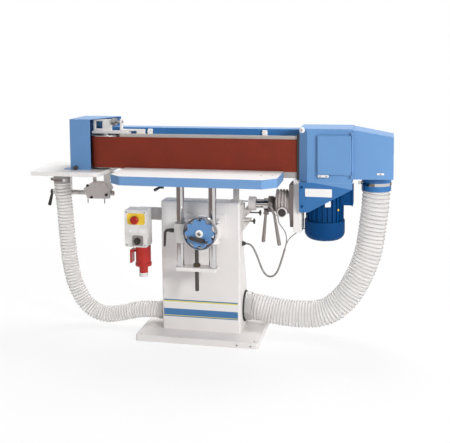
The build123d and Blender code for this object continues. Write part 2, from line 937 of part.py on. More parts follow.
# Main beam: box tube with the rear cover's brackets and the tension screw's lug
cover_z1 = belt_z1 + cover_rise
tension_foot_x0 = beam_left + beam_wall
tension_foot_x1 = tension_foot_x0 + tension_foot_w
tension_lug_x0 = tension_foot_x0 - tension_arm_reach
tension_arm_z0 = beam_z1 + tension_foot_h
tension_lug_z1 = tension_arm_z0 + tension_arm_t + tension_lug_h
fork_z1 = drum_z1 + fork_arm_gap + fork_arm_t
fork_z0 = drum_z0 - fork_low_gap - fork_low_t
tension_z = fork_z1 + tension_screw_rise
with BuildPart() as main_beam:
    slab((beam_left, beam_front_y, beam_z0), (arm_x1, beam_back_y, beam_z1))
    slab(
        (beam_left, beam_front_y + beam_wall, beam_z0 + beam_wall),
        (arm_x1, beam_back_y - beam_wall, beam_z1 - beam_wall),
        Mode.SUBTRACT,
    )
    for x in cover_bracket_x:
        slab(
            (x - cover_bracket_w / 2, beam_back_y - cover_bracket_w, beam_z1),
            (x + cover_bracket_w / 2, cover_front_y, beam_z1 + cover_bracket_t),
        )
        slab(
            (x - cover_bracket_w / 2, cover_front_y - cover_bracket_t, beam_z1),
            (x + cover_bracket_w / 2, cover_front_y, cover_z1 - cover_bracket_t),
        )
    with BuildSketch(Plane.XZ.offset(-lug_y)):
        with BuildLine():
            Polyline(
                (tension_foot_x0, beam_z1),
                (tension_foot_x1, beam_z1),
                (tension_foot_x1, tension_arm_z0 + tension_arm_t),
                (tension_lug_x0 + tension_lug_w, tension_arm_z0 + tension_arm_t),
                (tension_lug_x0 + tension_lug_w, tension_lug_z1),
                (tension_lug_x0, tension_lug_z1),
                (tension_lug_x0, tension_arm_z0),
                (tension_foot_x0, tension_arm_z0),
                close=True,
            )
        make_face()
    extrude(amount=tension_arm_d / 2, both=True)
    bar(
        (tension_lug_x0, lug_y, tension_z),
        (tension_lug_x0 + tension_lug_w, lug_y, tension_z),
        tension_screw_r + run_gap,
        Mode.SUBTRACT,
    )

# Platen with a bevelled lead-in at its left end, a skirt at its right end, and its graphite facing
platen_x1 = arm_x1 + platen_past_arm
platen_x0 = idler_x + platen_to_idler
with BuildPart() as platen:
    slab((platen_x0, platen_front_y, platen_z0), (platen_x1, beam_front_y, platen_z0 + platen_h))
    chamfer(platen.edges().filter_by(Axis.Z).group_by(Axis.X)[0].sort_by(Axis.Y)[0], platen_bevel)
    slab(
        (platen_x1 - platen_skirt_w, platen_front_y, platen_z0 - platen_skirt_h),
        (platen_x1, beam_front_y, platen_z0),
    )

with BuildPart() as graphite_pad:
    slab(
        (platen_x0 + platen_bevel + pad_inset, pad_front_y, belt_z0),
        (platen_x1 - pad_inset, platen_front_y, belt_z1),
    )

# Sanding belt: one closed loop round both drums
with BuildPart() as sanding_belt:
    with BuildSketch(Plane.XY.offset(belt_z0)):
        with Locations(((drive_x + idler_x) / 2, drum_y)):
            SlotCenterToCenter(drum_span, 2 * belt_outer_r)
            SlotCenterToCenter(drum_span, 2 * belt_inner_r, mode=Mode.SUBTRACT)
    extrude(amount=belt_w)


def drum_body(x):
    """A drum with a rim, a web and a hub."""
    pocket = (drum_z1 - drum_z0 - drum_web) / 2
    bar((x, drum_y, drum_z0), (x, drum_y, drum_z1), drum_r)
    bar((x, drum_y, drum_z0), (x, drum_y, drum_z0 + pocket), drum_r - drum_rim, Mode.SUBTRACT)
    bar((x, drum_y, drum_z1 - pocket), (x, drum_y, drum_z1), drum_r - drum_rim, Mode.SUBTRACT)
    bar((x, drum_y, drum_z0), (x, drum_y, drum_z1), drum_hub_r)


# Drive drum on the motor's shaft, with the cooling fan at the shaft's lower end
motor_z1 = plate_z0 - motor_flange_t
motor_z0 = motor_z1 - motor_l
fan_cover_z1 = motor_z0 + fan_cover_lap
fan_cover_z0 = fan_cover_z1 - fan_cover_l
fan_z0 = fan_cover_z0 + fan_rise
with BuildPart() as drive_drum:
    drum_body(drive_x)
    bar((drive_x, drum_y, fan_z0), (drive_x, drum_y, drum_z1), motor_shaft_r)
    bar((drive_x, drum_y, fan_z0), (drive_x, drum_y, fan_z0 + fan_t), fan_r)

# Motor body with flange, cooling fins, the cable's inlet box behind and the terminal box at the right
fin_root_r = motor_r - motor_fin_t
box_x0 = drive_x - box_from_axis
box_y1 = drum_y + motor_r + box_d
box_z0 = motor_z0 + box_bottom_rise
motor_nub_x = box_x0 + box_nub_in
motor_nub_y = box_y1 - box_nub_in
side_box_x1 = drive_x + side_box_reach
side_box_z0 = motor_z0 + side_box_rise
with BuildPart() as motor_body:
    bar((drive_x, drum_y, motor_z1), (drive_x, drum_y, plate_z0), motor_flange_r)
    bar((drive_x, drum_y, motor_z0), (drive_x, drum_y, motor_z1), motor_r)
    bar(
        (drive_x, drum_y, motor_z0),
        (drive_x, drum_y, motor_z0 + motor_foot_t),
        fan_cover_r - fan_cover_sheet - run_gap,
    )
    with Locations((drive_x, drum_y, motor_z1 - motor_fin_l / 2)):
        with PolarLocations((fin_root_r + motor_fin_r) / 2, motor_fin_count):
            Box(motor_fin_r - fin_root_r, motor_fin_t, motor_fin_l)
    slab((box_x0, drum_y, box_z0), (box_x0 + box_w, box_y1, box_z0 + box_h))
    slab(
        (drive_x, drum_y - side_box_w / 2, side_box_z0),
        (side_box_x1, drum_y + side_box_w / 2, side_box_z0 + side_box_h),
    )
    slab(
        (
            side_box_x1 - side_box_lid_t,
            drum_y - side_box_w / 2 - side_box_lid_lap,
            side_box_z0 - side_box_lid_lap,
        ),
        (
            side_box_x1,
            drum_y + side_box_w / 2 + side_box_lid_lap,
            side_box_z0 + side_box_h + side_box_lid_lap,
        ),
    )
    bar(
        (motor_nub_x, motor_nub_y, box_z0 - cable_nub_l),
        (motor_nub_x, motor_nub_y, box_z0),
        cable_nub_r,
    )
    bar(
        (drive_x, drum_y, motor_z0),
        (drive_x, drum_y, plate_z0),
        motor_shaft_r + run_gap,
        Mode.SUBTRACT,
    )

# Fan cover: a rounded cup with air slots round its floor
with BuildPart() as fan_cover:
    bar((drive_x, drum_y, fan_cover_z0), (drive_x, drum_y, fan_cover_z1), fan_cover_r)
    fillet(fan_cover.edges().sort_by(Axis.Z)[0], fan_cover_round)
    offset(amount=-fan_cover_sheet, openings=fan_cover.faces().sort_by(Axis.Z)[-1])
    with BuildSketch(Plane.XY.offset(fan_cover_z0)):
        with Locations((drive_x, drum_y)):
            with PolarLocations((fan_cover_r - fan_cover_round) / 2 + fan_slot_out, fan_slot_count):
                Rectangle(fan_slot_l, fan_slot_w)
    extrude(amount=2 * fan_cover_sheet, mode=Mode.SUBTRACT)

# Drive hood: folded sheet, open to the belt at the left and to the motor plate below
door_x1 = hood_x1 - door_right_inset
door_x0 = door_x1 - door_w
door_z0 = hood_z0 + door_rise
door_z1 = door_z0 + door_h
hinge_x = door_x1 + hinge_knuckle_r
hinge_y = hood_front_y - free_gap - door_d / 2
duct_y0 = hood_front_y + duct_inset
duct_y1 = hood_back_y - duct_inset
duct_z0 = hood_z0 + duct_rise
duct_z1 = hood_z1 - hood_sheet
with BuildPart() as drive_hood:
    with BuildSketch(Plane.XY.offset(hood_z0)):
        with BuildLine():
            Polyline(*hood_plan, close=True)
        make_face()
    extrude(amount=hood_h)
    fillet(drive_hood.faces().sort_by(Axis.Z)[-1].edges().sort_by(Axis.X)[1:], hood_fold_r)
    with BuildSketch(Plane.XY.offset(hood_z0)):
        with BuildLine():
            Polyline(*hood_plan, close=True)
        make_face()
        offset(amount=-hood_sheet, kind=Kind.INTERSECTION, mode=Mode.REPLACE)
    extrude(amount=hood_h - hood_sheet, mode=Mode.SUBTRACT)
    slab(
        (hood_x0, hood_front_y + hood_bevel_d, hood_z0),
        (hood_x0 + hood_sheet, hood_back_y - hood_sheet, hood_z1 - hood_sheet),
        Mode.SUBTRACT,
    )
    slab(
        (door_x0 + door_lap, hood_front_y - hood_sheet, door_z0 + door_lap),
        (door_x1 - door_lap, hood_front_y + 2 * hood_sheet, door_z1 - door_lap),
        Mode.SUBTRACT,
    )
    slab(
        (hood_x1 - 2 * hood_sheet, duct_y0 + duct_rim, duct_z0 + duct_rim),
        (hood_x1 + hood_sheet, duct_y1 - duct_rim, duct_z1 - duct_rim),
        Mode.SUBTRACT,
    )
    for lug_z0 in (door_z0 - hinge_lug_gap - hinge_lug_h, door_z1 + hinge_lug_gap):
        slab(
            (hinge_x - hinge_lug_w / 2, hinge_y - hinge_knuckle_r, lug_z0),
            (hinge_x + hinge_lug_w / 2, hood_front_y + hood_sheet, lug_z0 + hinge_lug_h),
        )
    bar(
        (hinge_x, hinge_y, door_z0 - hinge_lug_gap - hinge_lug_h),
        (hinge_x, hinge_y, door_z1 + hinge_lug_gap + hinge_lug_h),
        hinge_pin_r,
    )

# Access door: a shallow tray that hangs on the hood's hinge pin
door_mid_z = (door_z0 + door_z1) / 2
with BuildPart() as hood_door:
    slab(
        (door_x0, hood_front_y - free_gap - door_d, door_z0),
        (door_x1, hood_front_y - free_gap, door_z1),
    )
    fillet(hood_door.faces().sort_by(Axis.Y)[0].edges(), door_fold_r)
    offset(amount=-door_sheet, openings=hood_door.faces().sort_by(Axis.Y)[-1])
    slab(
        (door_x1 - door_sheet, hinge_y - door_sheet, door_mid_z - hinge_knuckle_l / 2),
        (hinge_x, hinge_y + door_sheet, door_mid_z + hinge_knuckle_l / 2),
    )
    bar(
        (hinge_x, hinge_y, door_mid_z - hinge_knuckle_l / 2),
        (hinge_x, hinge_y, door_mid_z + hinge_knuckle_l / 2),
        hinge_knuckle_r,
    )
    bar(
        (hinge_x, hinge_y, door_z0),
        (hinge_x, hinge_y, door_z1),
        hinge_pin_r + run_gap,
        Mode.SUBTRACT,
    )

# Dust duct: a tapered box on the hood's side, with the hose collar below it
collar_x = hood_x1 + collar_to_hood
collar_y = big_entry_y
collar_r = big_hose_r + free_gap + collar_wall
collar_z0 = duct_z0 - collar_l
collar_seat_z = collar_z0 + collar_seat_l
duct_mid_y = (duct_y0 + duct_y1) / 2


def duct_section(inset):
    """Near and far rectangles of the duct, as width, height and centre height."""
    near_h = duct_z1 - duct_z0
    return (
        (duct_y1 - duct_y0 - 2 * inset, near_h - 2 * inset, duct_z0 + near_h / 2),
        (duct_end_d - 2 * inset, duct_end_h - 2 * inset, duct_z0 + duct_end_h / 2),
    )


with BuildPart() as dust_duct:
    for x, (width, height, mid_z) in zip((hood_x1, hood_x1 + duct_l), duct_section(0)):
        with BuildSketch(Plane.YZ.offset(x)):
            with Locations((duct_mid_y, mid_z)):
                Rectangle(width, height)
    loft()
    bar((collar_x, collar_y, collar_z0), (collar_x, collar_y, duct_z0 + duct_sheet), collar_r)
    for x, (width, height, mid_z) in zip((hood_x1, hood_x1 + duct_l - duct_sheet), duct_section(duct_sheet)):
        with BuildSketch(Plane.YZ.offset(x)):
            with Locations((duct_mid_y, mid_z)):
                Rectangle(width, height)
    loft(mode=Mode.SUBTRACT)
    bar(
        (collar_x, collar_y, collar_z0),
        (collar_x, collar_y, collar_seat_z),
        big_hose_r + free_gap,
        Mode.SUBTRACT,
    )
    bar(
        (collar_x, collar_y, collar_z0),
        (collar_x, collar_y, duct_z0 + 2 * duct_sheet),
        big_bore_r,
        Mode.SUBTRACT,
    )

# Band clamps on the duct's collar and on the small hose's top
port_flange_z1 = aux_z0 - free_gap
port_flange_z0 = port_flange_z1 - port_flange_t
small_clamp_z = port_flange_z0 - small_clamp_drop
with BuildPart() as hose_clamps:
    for x, y, z0, inner_r in (
        (collar_x, collar_y, collar_z0 + clamp_rise, collar_r),
        (port_x, small_entry_y, small_clamp_z, small_hose_r + free_gap),
    ):
        bar((x, y, z0), (x, y, z0 + clamp_w), inner_r + clamp_t)
        slab(
            (x - inner_r - clamp_block, y - clamp_block / 2, z0),
            (x - inner_r + clamp_t, y + clamp_block / 2, z0 + clamp_w),
        )
        bar((x, y, z0), (x, y, z0 + clamp_w), inner_r, Mode.SUBTRACT)

# Lower guard: a sheet in front of the motor, bent inwards below a crease, with a folded return at its left
guard_z0 = hood_z0 - guard_drop
crease_x = hood_x0 + guard_crease_w
crease_z = hood_z0 - guard_right_drop
crease_run = Vector(hood_x1 - crease_x, 0, crease_z - hood_z0).normalized()
crease_rise = Vector(-crease_run.Z, 0, crease_run.X)
guard_plane = Plane(
    (crease_x, hood_front_y, hood_z0),
    x_dir=crease_run,
    z_dir=Vector(
        crease_run.Z * sin(radians(guard_tilt)),
        -cos(radians(guard_tilt)),
        -crease_run.X * sin(radians(guard_tilt)),
    ),
)


def on_guard(x, z):
    """A point of the flat guard in the bent sheet's own two directions."""
    spot = Vector(x - crease_x, 0, z - hood_z0)
    return (spot.dot(crease_run), spot.dot(crease_rise))


with BuildPart() as lower_guard:
    with BuildSketch(Plane.XZ.offset(-hood_front_y)):
        with BuildLine():
            Polyline((crease_x, hood_z0), (hood_x1, crease_z), (hood_x1, hood_z0), close=True)
        make_face()
    extrude(amount=-guard_sheet)
    with BuildSketch(guard_plane):
        with BuildLine():
            Polyline(
                on_guard(crease_x, hood_z0),
                on_guard(hood_x0, hood_z0),
                on_guard(hood_x0, guard_z0),
                on_guard(hood_x0 + guard_foot_w, guard_z0),
                on_guard(hood_x1, crease_z),
                close=True,
            )
        make_face()
    extrude(amount=-guard_sheet)
    with BuildSketch(guard_plane):
        with BuildLine():
            Polyline(
                on_guard(hood_x0, hood_z0),
                on_guard(hood_x0, guard_z0),
                on_guard(hood_x0 + guard_sheet, guard_z0),
                on_guard(hood_x0 + guard_sheet, hood_z0),
                close=True,
            )
        make_face()
    extrude(amount=-guard_return)
    slab((hood_x0, hood_front_y, hood_z0), (hood_x1, beam_front_y, hood_z0 + guard_return), Mode.SUBTRACT)
    slab((hood_x0, hood_front_y + hood_sheet, plate_z0), (hood_x1, beam_front_y, hood_z0), Mode.SUBTRACT)

# Rear cover: folded sheet over the belt's back run
cover_lip_z0 = drum_z1 + cover_lip_gap
with BuildPart() as rear_cover:
    with BuildSketch(Plane.YZ.offset(cover_left)):
        with BuildLine():
            Polyline(
                (cover_front_y, cover_lip_z0),
                (cover_front_y, cover_z1),
                (hood_back_y, cover_z1),
                (hood_back_y, cover_z1 - cover_h),
                (hood_back_y - cover_sheet, cover_z1 - cover_h),
                (hood_back_y - cover_sheet, cover_z1 - cover_sheet),
                (cover_front_y + cover_sheet, cover_z1 - cover_sheet),
                (cover_front_y + cover_sheet, cover_lip_z0),
                close=True,
            )
        make_face()
    extrude(amount=hood_x0 - cover_left)

# Tension fork: two arms round the idler, the axle, a tongue in the beam and the screw's lug
fork_x1 = beam_left - fork_to_beam
fork_web_x0 = fork_x1 - fork_web_t
fork_top_x0 = idler_x - fork_top_reach
fork_low_x0 = idler_x - fork_low_reach
fork_lug_x1 = fork_top_x0 + lug_w
tongue_inset = beam_wall + free_gap
with BuildPart() as tension_fork:
    with BuildSketch(Plane.XZ.offset(-fork_front_y)):
        with BuildLine():
            Polyline(
                (fork_low_x0, fork_z0),
                (fork_x1, fork_z0),
                (fork_x1, fork_z1),
                (fork_top_x0, fork_z1),
                (fork_top_x0, fork_z1 - fork_arm_t),
                (fork_web_x0, fork_z1 - fork_arm_t),
                (fork_web_x0, fork_z0 + fork_low_t),
                (fork_low_x0, fork_z0 + fork_low_t),
                close=True,
            )
        make_face()
    extrude(amount=-fork_d)
    slab(
        (fork_x1, beam_front_y + tongue_inset, beam_z0 + tongue_inset),
        (fork_x1 + tongue_l, beam_back_y - tongue_inset, beam_z1 - tongue_inset),
    )
    slab(
        (
            fork_x1 + tongue_wall,
            beam_front_y + tongue_inset + tongue_wall,
            beam_z0 + tongue_inset + tongue_wall,
        ),
        (
            fork_x1 + tongue_l,
            beam_back_y - tongue_inset - tongue_wall,
            beam_z1 - tongue_inset - tongue_wall,
        ),
        Mode.SUBTRACT,
    )
    slab((fork_top_x0, lug_y - lug_t / 2, fork_z1), (fork_lug_x1, lug_y + lug_t / 2, fork_z1 + lug_h))
    slab(
        (fork_top_x0 + lug_window_inset, lug_y - lug_t / 2, fork_z1 + lug_window_inset),
        (
            fork_top_x0 + lug_window_inset + lug_window_w,
            lug_y + lug_t / 2,
            fork_z1 + lug_window_inset + lug_window_h,
        ),
        Mode.SUBTRACT,
    )
    bar((idler_x, drum_y, fork_z0), (idler_x, drum_y, fork_z1), axle_r)

# Idler drum on the fork's axle
with BuildPart() as idler_drum:
    drum_body(idler_x)
    bar((idler_x, drum_y, drum_z0), (idler_x, drum_y, drum_z1), axle_r + run_gap, Mode.SUBTRACT)

# Tension screw with its knob
screw_x0 = fork_lug_x1 + free_gap
knob_x0 = fork_lug_x1 + tension_knob_x
with BuildPart() as tension_screw:
    bar((screw_x0, lug_y, tension_z), (screw_x0 + tension_screw_l, lug_y, tension_z), tension_screw_r)
    bar((knob_x0, lug_y, tension_z), (knob_x0 + tension_knob_l, lug_y, tension_z), tension_knob_r)

# Side table: a hollow plate whose channel leads dust from the guard down to the port
channel_y0 = small_entry_y - aux_channel_w / 2
channel_y1 = small_entry_y + aux_channel_w / 2
spigot_r = small_bore_r - free_gap
port_bore_r = spigot_r - port_wall
inlet_slot_x0 = guard_left + inlet_slot_in
with BuildPart() as aux_table:
    with BuildSketch(Plane.XY.offset(aux_z0)) as aux_outline:
        with BuildLine():
            Polyline(
                (aux_left_front, aux_front_y),
                (aux_right, aux_front_y),
                (aux_right, aux_back_y),
                (aux_left_back, aux_back_y),
                close=True,
            )
        make_face()
        fillet(aux_outline.vertices().group_by(Axis.Y)[0].sort_by(Axis.X)[-1], aux_corner_r)
    extrude(amount=aux_t)
    slab(
        (port_x - spigot_r, channel_y0, aux_z0 + aux_skin),
        (inlet_slot_x0 + inlet_slot_w, channel_y1, aux_z1 - aux_skin),
        Mode.SUBTRACT,
    )
    slab(
        (port_x - port_bore_r, small_entry_y - port_bore_r, aux_z0),
        (port_x + port_bore_r + aux_slide, small_entry_y + port_bore_r, aux_z0 + aux_skin),
        Mode.SUBTRACT,
    )
    slab(
        (inlet_slot_x0, small_entry_y - inlet_slot_d / 2, aux_z1 - aux_skin),
        (inlet_slot_x0 + inlet_slot_w, small_entry_y + inlet_slot_d / 2, aux_z1),
        Mode.SUBTRACT,
    )

# Idler guard: folded sheet on the side table, open to the belt, with a tongue along its foot
guard_front_y = drum_y - belt_outer_r - guard_front_gap - cover_sheet
with BuildPart() as idler_guard:
    with BuildSketch(Plane.XY.offset(aux_z1)):
        with BuildLine():
            Polyline(
                (guard_left, guard_front_y),
                (guard_left + guard_panel_w, guard_front_y),
                (guard_left + guard_back_w, guard_back_y),
                (guard_left, guard_back_y),
                close=True,
            )
        make_face()
    extrude(amount=guard_h)
    fillet(idler_guard.faces().sort_by(Axis.X)[0].edges().filter_by(Axis.Z), hood_fold_r)
    offset(
        amount=-cover_sheet,
        openings=[idler_guard.faces().sort_by(Axis.Z)[0], idler_guard.faces().sort_by(Axis.X)[-1]],
    )
    slab(
        (guard_left - tongue_w, guard_front_y, aux_z1),
        (guard_left + hood_fold_r, guard_front_y + tongue_d, aux_z1 + tongue_t),
    )

# Dust port under the side table: flange, spigot for the small hose and a foot that clamps the bar
aux_bar_z = aux_z0 - aux_bar_drop
clamp_r = aux_bar_r + bar_clamp_wall
with BuildPart() as aux_port:
    bar((port_x, small_entry_y, port_flange_z0), (port_x, small_entry_y, port_flange_z1), port_flange_r)
    slab(
        (port_x - port_foot_w / 2, small_entry_y, port_flange_z0),
        (port_x + port_foot_w / 2, aux_bar_y + clamp_r, port_flange_z1),
    )
    slab(
        (port_x - port_foot_w / 2, aux_bar_y - aux_bar_r, aux_bar_z),
        (port_x + port_foot_w / 2, aux_bar_y + aux_bar_r, port_flange_z0),
    )
    bar(
        (port_x - port_foot_w / 2, aux_bar_y, aux_bar_z),
        (port_x + port_foot_w / 2, aux_bar_y, aux_bar_z),
        clamp_r,
    )
    bar(
        (port_x - port_foot_w / 2, aux_bar_y, aux_bar_z),
        (port_x + port_foot_w / 2, aux_bar_y, aux_bar_z),
        aux_bar_r + run_gap,
        Mode.SUBTRACT,
    )
    bar(
        (port_x, small_entry_y, port_flange_z0 - port_spigot_l),
        (port_x, small_entry_y, port_flange_z0),
        spigot_r,
    )
    bar(
        (port_x, small_entry_y, port_flange_z0 - port_spigot_l),
        (port_x, small_entry_y, port_flange_z1),
        port_bore_r,
        Mode.SUBTRACT,
    )

# Round bar of the side table, with the stub that carries its clamp lever
with BuildPart() as aux_bar:
    bar((aux_bar_left, aux_bar_y, aux_bar_z), (aux_bar_right, aux_bar_y, aux_bar_z), aux_bar_r)
    bar((aux_bar_left - aux_stub_l, aux_bar_y, aux_bar_z), (aux_bar_left, aux_bar_y, aux_bar_z), aux_stub_r)

# Six-sided bracket block on the bar, with the post under the side table
block_left = block_right - block_w
block_z0 = aux_bar_z - block_below_bar
block_z1 = block_z0 + block_h
block_y0 = aux_bar_y - block_ahead
post_x = block_left + post_from_left
strap_x0 = block_right - strap_w + strap_past_block
strap_y1 = aux_bar_y - strap_to_bar
strap_y0 = strap_y1 - strap_t
with BuildPart() as aux_block:
    with BuildSketch(Plane.XZ.offset(-block_y0)):
        with BuildLine():
            Polyline(
                (block_left, block_z1 - block_cut_z),
                (block_left + block_cut_x, block_z1),
                (block_right - block_cut_x / 2, block_z1),
                (block_right, block_z1 - block_cut_z),
                (block_right - block_cut_x / 2, block_z0),
                (block_left + block_cut_x / 2, block_z0),
                close=True,
            )
        make_face()
    extrude(amount=-block_d)
    bar((post_x, aux_bar_y, block_z1), (post_x, aux_bar_y, aux_z0 - free_gap), post_r)
    bar(
        (block_left, aux_bar_y, aux_bar_z),
        (block_right, aux_bar_y, aux_bar_z),
        aux_bar_r + run_gap,
        Mode.SUBTRACT,
    )
    slab((strap_x0, strap_y0, block_z0), (strap_x0 + strap_w, strap_y1, block_z1), Mode.SUBTRACT)

# Strap from the slot in the bracket block to the main beam
strap_z1 = aux_z0 - strap_gap
strap_foot_x0 = beam_left + beam_wall
with BuildPart() as aux_strap:
    with BuildSketch(Plane.XZ.offset(-strap_y1)):
        with BuildLine():
            Polyline(
                (strap_x0, block_z0),
                (strap_x0 + strap_w, block_z0),
                (strap_x0 + strap_w, strap_z1 - strap_h),
                (strap_foot_x0 + strap_foot_w, strap_z1 - strap_h),
                (strap_foot_x0 + strap_foot_w, beam_z0),
                (strap_foot_x0, beam_z0),
                (strap_foot_x0, strap_z1),
                (strap_x0, strap_z1),
                close=True,
            )
        make_face()
    extrude(amount=strap_t)

# Clamp lever at the bar's end
aux_eye_x = aux_bar_left - free_gap
aux_lever_x = aux_eye_x - lever_eye_t / 2
with BuildPart() as aux_lever:
    grip(
        (aux_lever_x, aux_bar_y, aux_bar_z),
        (aux_lever_x - aux_lever_lean, aux_bar_y, aux_bar_z - aux_lever_l),
        lever_root_r,
        lever_tip_r,
    )
    bar((aux_eye_x - lever_eye_t, aux_bar_y, aux_bar_z), (aux_eye_x, aux_bar_y, aux_bar_z), aux_bar_r)
    bar(
        (aux_eye_x - lever_eye_t - lever_tip_r, aux_bar_y, aux_bar_z),
        (aux_eye_x, aux_bar_y, aux_bar_z),
        aux_stub_r + run_gap,
        Mode.SUBTRACT,
    )

# Lift guide on the column: flange, two sleeves joined by a bridge, and the gear housing
lift_left_x = lift_mid_x - lift_pitch / 2
lift_right_x = lift_mid_x + lift_pitch / 2
guide_z1 = col_top_z - guide_flange_top_drop
guide_z0 = guide_z1 - guide_flange_h
guide_body_z0 = guide_z0 + guide_body_rise
guide_body_z1 = guide_body_z0 + guide_body_h
guide_flange_y = col_front_y - guide_flange_t
guide_front_y = lift_y - guide_box_front
wheel_x = lift_mid_x + screw_gear_r + wheel_gear_r + gear_gap
wheel_z = col_top_z - wheel_axis_drop
cross_z1 = table_z0 - lift_column_l
cross_z0 = cross_z1 - cross_t
screw_z0 = cross_z0 - screw_below_plate
screw_z1 = screw_z0 + screw_l
wheel_tail_y = lift_y + wheel_tail
bush_r = lift_column_r + bush_wall
height_lever_z = guide_body_z1 - height_lever_drop
with BuildPart() as guide_bracket:
    slab(
        (lift_mid_x - guide_flange_w / 2, guide_flange_y, guide_z0),
        (lift_mid_x + guide_flange_w / 2, col_front_y, guide_z1),
    )
    with BuildSketch(Plane.XY.offset(guide_body_z0)):
        with Locations((lift_left_x, lift_y), (lift_right_x, lift_y)):
            Circle(guide_sleeve_r)
        with Locations((lift_mid_x, lift_y)):
            Rectangle(lift_pitch, guide_bridge_d)
        rib_d = guide_flange_y - lift_y
        with Locations(
            (lift_left_x, lift_y + rib_d / 2),
            (lift_right_x, lift_y + rib_d / 2),
        ):
            Rectangle(guide_rib_w, rib_d)
        box_depth = guide_flange_y - guide_front_y
        with Locations((lift_mid_x - guide_box_left + guide_box_w / 2, guide_front_y + box_depth / 2)):
            Rectangle(guide_box_w, box_depth)
        with Locations((lift_left_x, lift_y), (lift_right_x, lift_y)):
            Circle(bush_r + run_gap, mode=Mode.SUBTRACT)
    extrude(amount=guide_body_h)
    bar((lift_mid_x, lift_y, guide_body_z0), (lift_mid_x, lift_y, screw_z1 + free_gap),
        screw_r + run_gap, Mode.SUBTRACT)
    bar(
        (lift_mid_x, lift_y, wheel_z - gear_t / 2 - gear_room),
        (lift_mid_x, lift_y, wheel_z + gear_t / 2 + gear_room),
        screw_gear_r + gear_room,
        Mode.SUBTRACT,
    )
    bar(
        (wheel_x, lift_y - gear_t / 2 - gear_room, wheel_z),
        (wheel_x, lift_y + gear_t / 2 + gear_room, wheel_z),
        wheel_gear_r + gear_room,
        Mode.SUBTRACT,
    )
    bar(
        (wheel_x, guide_front_y, wheel_z),
        (wheel_x, wheel_tail_y + free_gap, wheel_z),
        wheel_shaft_r + run_gap,
        Mode.SUBTRACT,
    )
    bar(
        (lift_left_x - guide_sleeve_r, lift_y, height_lever_z),
        (lift_left_x - guide_sleeve_r + lever_stud_l, lift_y, height_lever_z),
        lever_pin_r + run_gap,
        Mode.SUBTRACT,
    )

# Bushes in the two sleeves
with BuildPart() as guide_bushes:
    with BuildSketch(Plane.XY.offset(guide_body_z0 - bush_proud)):
        with Locations((lift_left_x, lift_y), (lift_right_x, lift_y)):
            Circle(bush_r)
            Circle(lift_column_r + run_gap, mode=Mode.SUBTRACT)
    extrude(amount=guide_body_h + 2 * bush_proud)

# Two plated lift columns, the cross plate below them and the nut on it
with BuildPart() as lift_columns:
    with BuildSketch(Plane.XY.offset(cross_z1)):
        with Locations((lift_left_x, lift_y), (lift_right_x, lift_y)):
            Circle(lift_column_r)
    extrude(amount=lift_column_l)

with BuildPart() as cross_plate:
    with BuildSketch(Plane.XY.offset(cross_z0)):
        with Locations((lift_mid_x, lift_y)):
            RectangleRounded(cross_w, cross_d, cross_corner_r)
            Circle(screw_r + free_gap, mode=Mode.SUBTRACT)
    extrude(amount=cross_t)

with BuildPart() as lift_nut:
    with BuildSketch(Plane.XY.offset(cross_z1)):
        with Locations((lift_mid_x, lift_y)):
            RegularPolygon(lift_nut_r, 6)
            Circle(screw_r + run_gap, mode=Mode.SUBTRACT)
    extrude(amount=lift_nut_t)

# Lead screw with its gear blank
with BuildPart() as lead_screw:
    bar((lift_mid_x, lift_y, screw_z0), (lift_mid_x, lift_y, screw_z1), screw_r)
    bar(
        (lift_mid_x, lift_y, wheel_z - gear_t / 2),
        (lift_mid_x, lift_y, wheel_z + gear_t / 2),
        screw_gear_r,
    )

# Handwheel: rim, spokes, hub and the shaft with its gear blank
rim_y = guide_front_y - rim_gap
wheel_hub_y0 = rim_y - wheel_hub_l / 2
disc_y0 = wheel_hub_y0 - disc_t
with BuildPart() as handwheel:
    with BuildSketch(Plane.XZ.offset(-rim_y)):
        with Locations((wheel_x, wheel_z)):
            Circle(rim_r + rim_bar_r)
            Circle(rim_r - rim_bar_r, mode=Mode.SUBTRACT)
    extrude(amount=rim_bar_r, both=True)
    chamfer(handwheel.edges(), rim_bar_r / 2)
    with BuildSketch(Plane.XZ.offset(-rim_y)):
        with Locations((wheel_x, wheel_z)):
            with PolarLocations(rim_r / 2, spoke_count, start_angle=90):
                Rectangle(rim_r, spoke_w)
    extrude(amount=spoke_t / 2, both=True)
    bar((wheel_x, wheel_hub_y0, wheel_z), (wheel_x, rim_y + wheel_hub_l / 2, wheel_z), wheel_hub_r)
    bar((wheel_x, disc_y0, wheel_z), (wheel_x, wheel_tail_y, wheel_z), wheel_shaft_r)
    bar((wheel_x, lift_y - gear_t / 2, wheel_z), (wheel_x, lift_y + gear_t / 2, wheel_z), wheel_gear_r)

# Lobed disc in front of the rim, with the two lugs and the pin of the folding crank
crank_spot = Vector(
    wheel_x + crank_at_r * cos(radians(crank_angle)),
    disc_y0 - crank_stand,
    wheel_z + crank_at_r * sin(radians(crank_angle)),
)
crank_run = Vector(-cos(radians(crank_lean)), 0, sin(radians(crank_lean)))
crank_axis = (sin(radians(crank_lean)), 0, cos(radians(crank_lean)))
crank_plane = Plane(crank_spot, x_dir=crank_run, z_dir=crank_axis)
crank_lug_mid = crank_eye_w / 2 + free_gap + crank_lug_t / 2
with BuildPart() as handwheel_disc:
    with BuildSketch(Plane.XZ.offset(-wheel_hub_y0)):
        with Locations((wheel_x, wheel_z)):
            Circle(disc_r)
            with PolarLocations(disc_r, disc_lobe_count):
                Circle(disc_lobe_r)
            Circle(wheel_shaft_r + run_gap, mode=Mode.SUBTRACT)
    extrude(amount=disc_t)
    with Locations(crank_plane.location):
        with Locations((0, 0, -crank_lug_mid), (0, 0, crank_lug_mid)):
            Cylinder(crank_lug_r, crank_lug_t)
        with Locations((0, -crank_stand / 2, -crank_lug_mid), (0, -crank_stand / 2, crank_lug_mid)):
            Box(2 * crank_lug_r, crank_stand, crank_lug_t)
        Cylinder(crank_pin_r, 2 * crank_lug_mid)

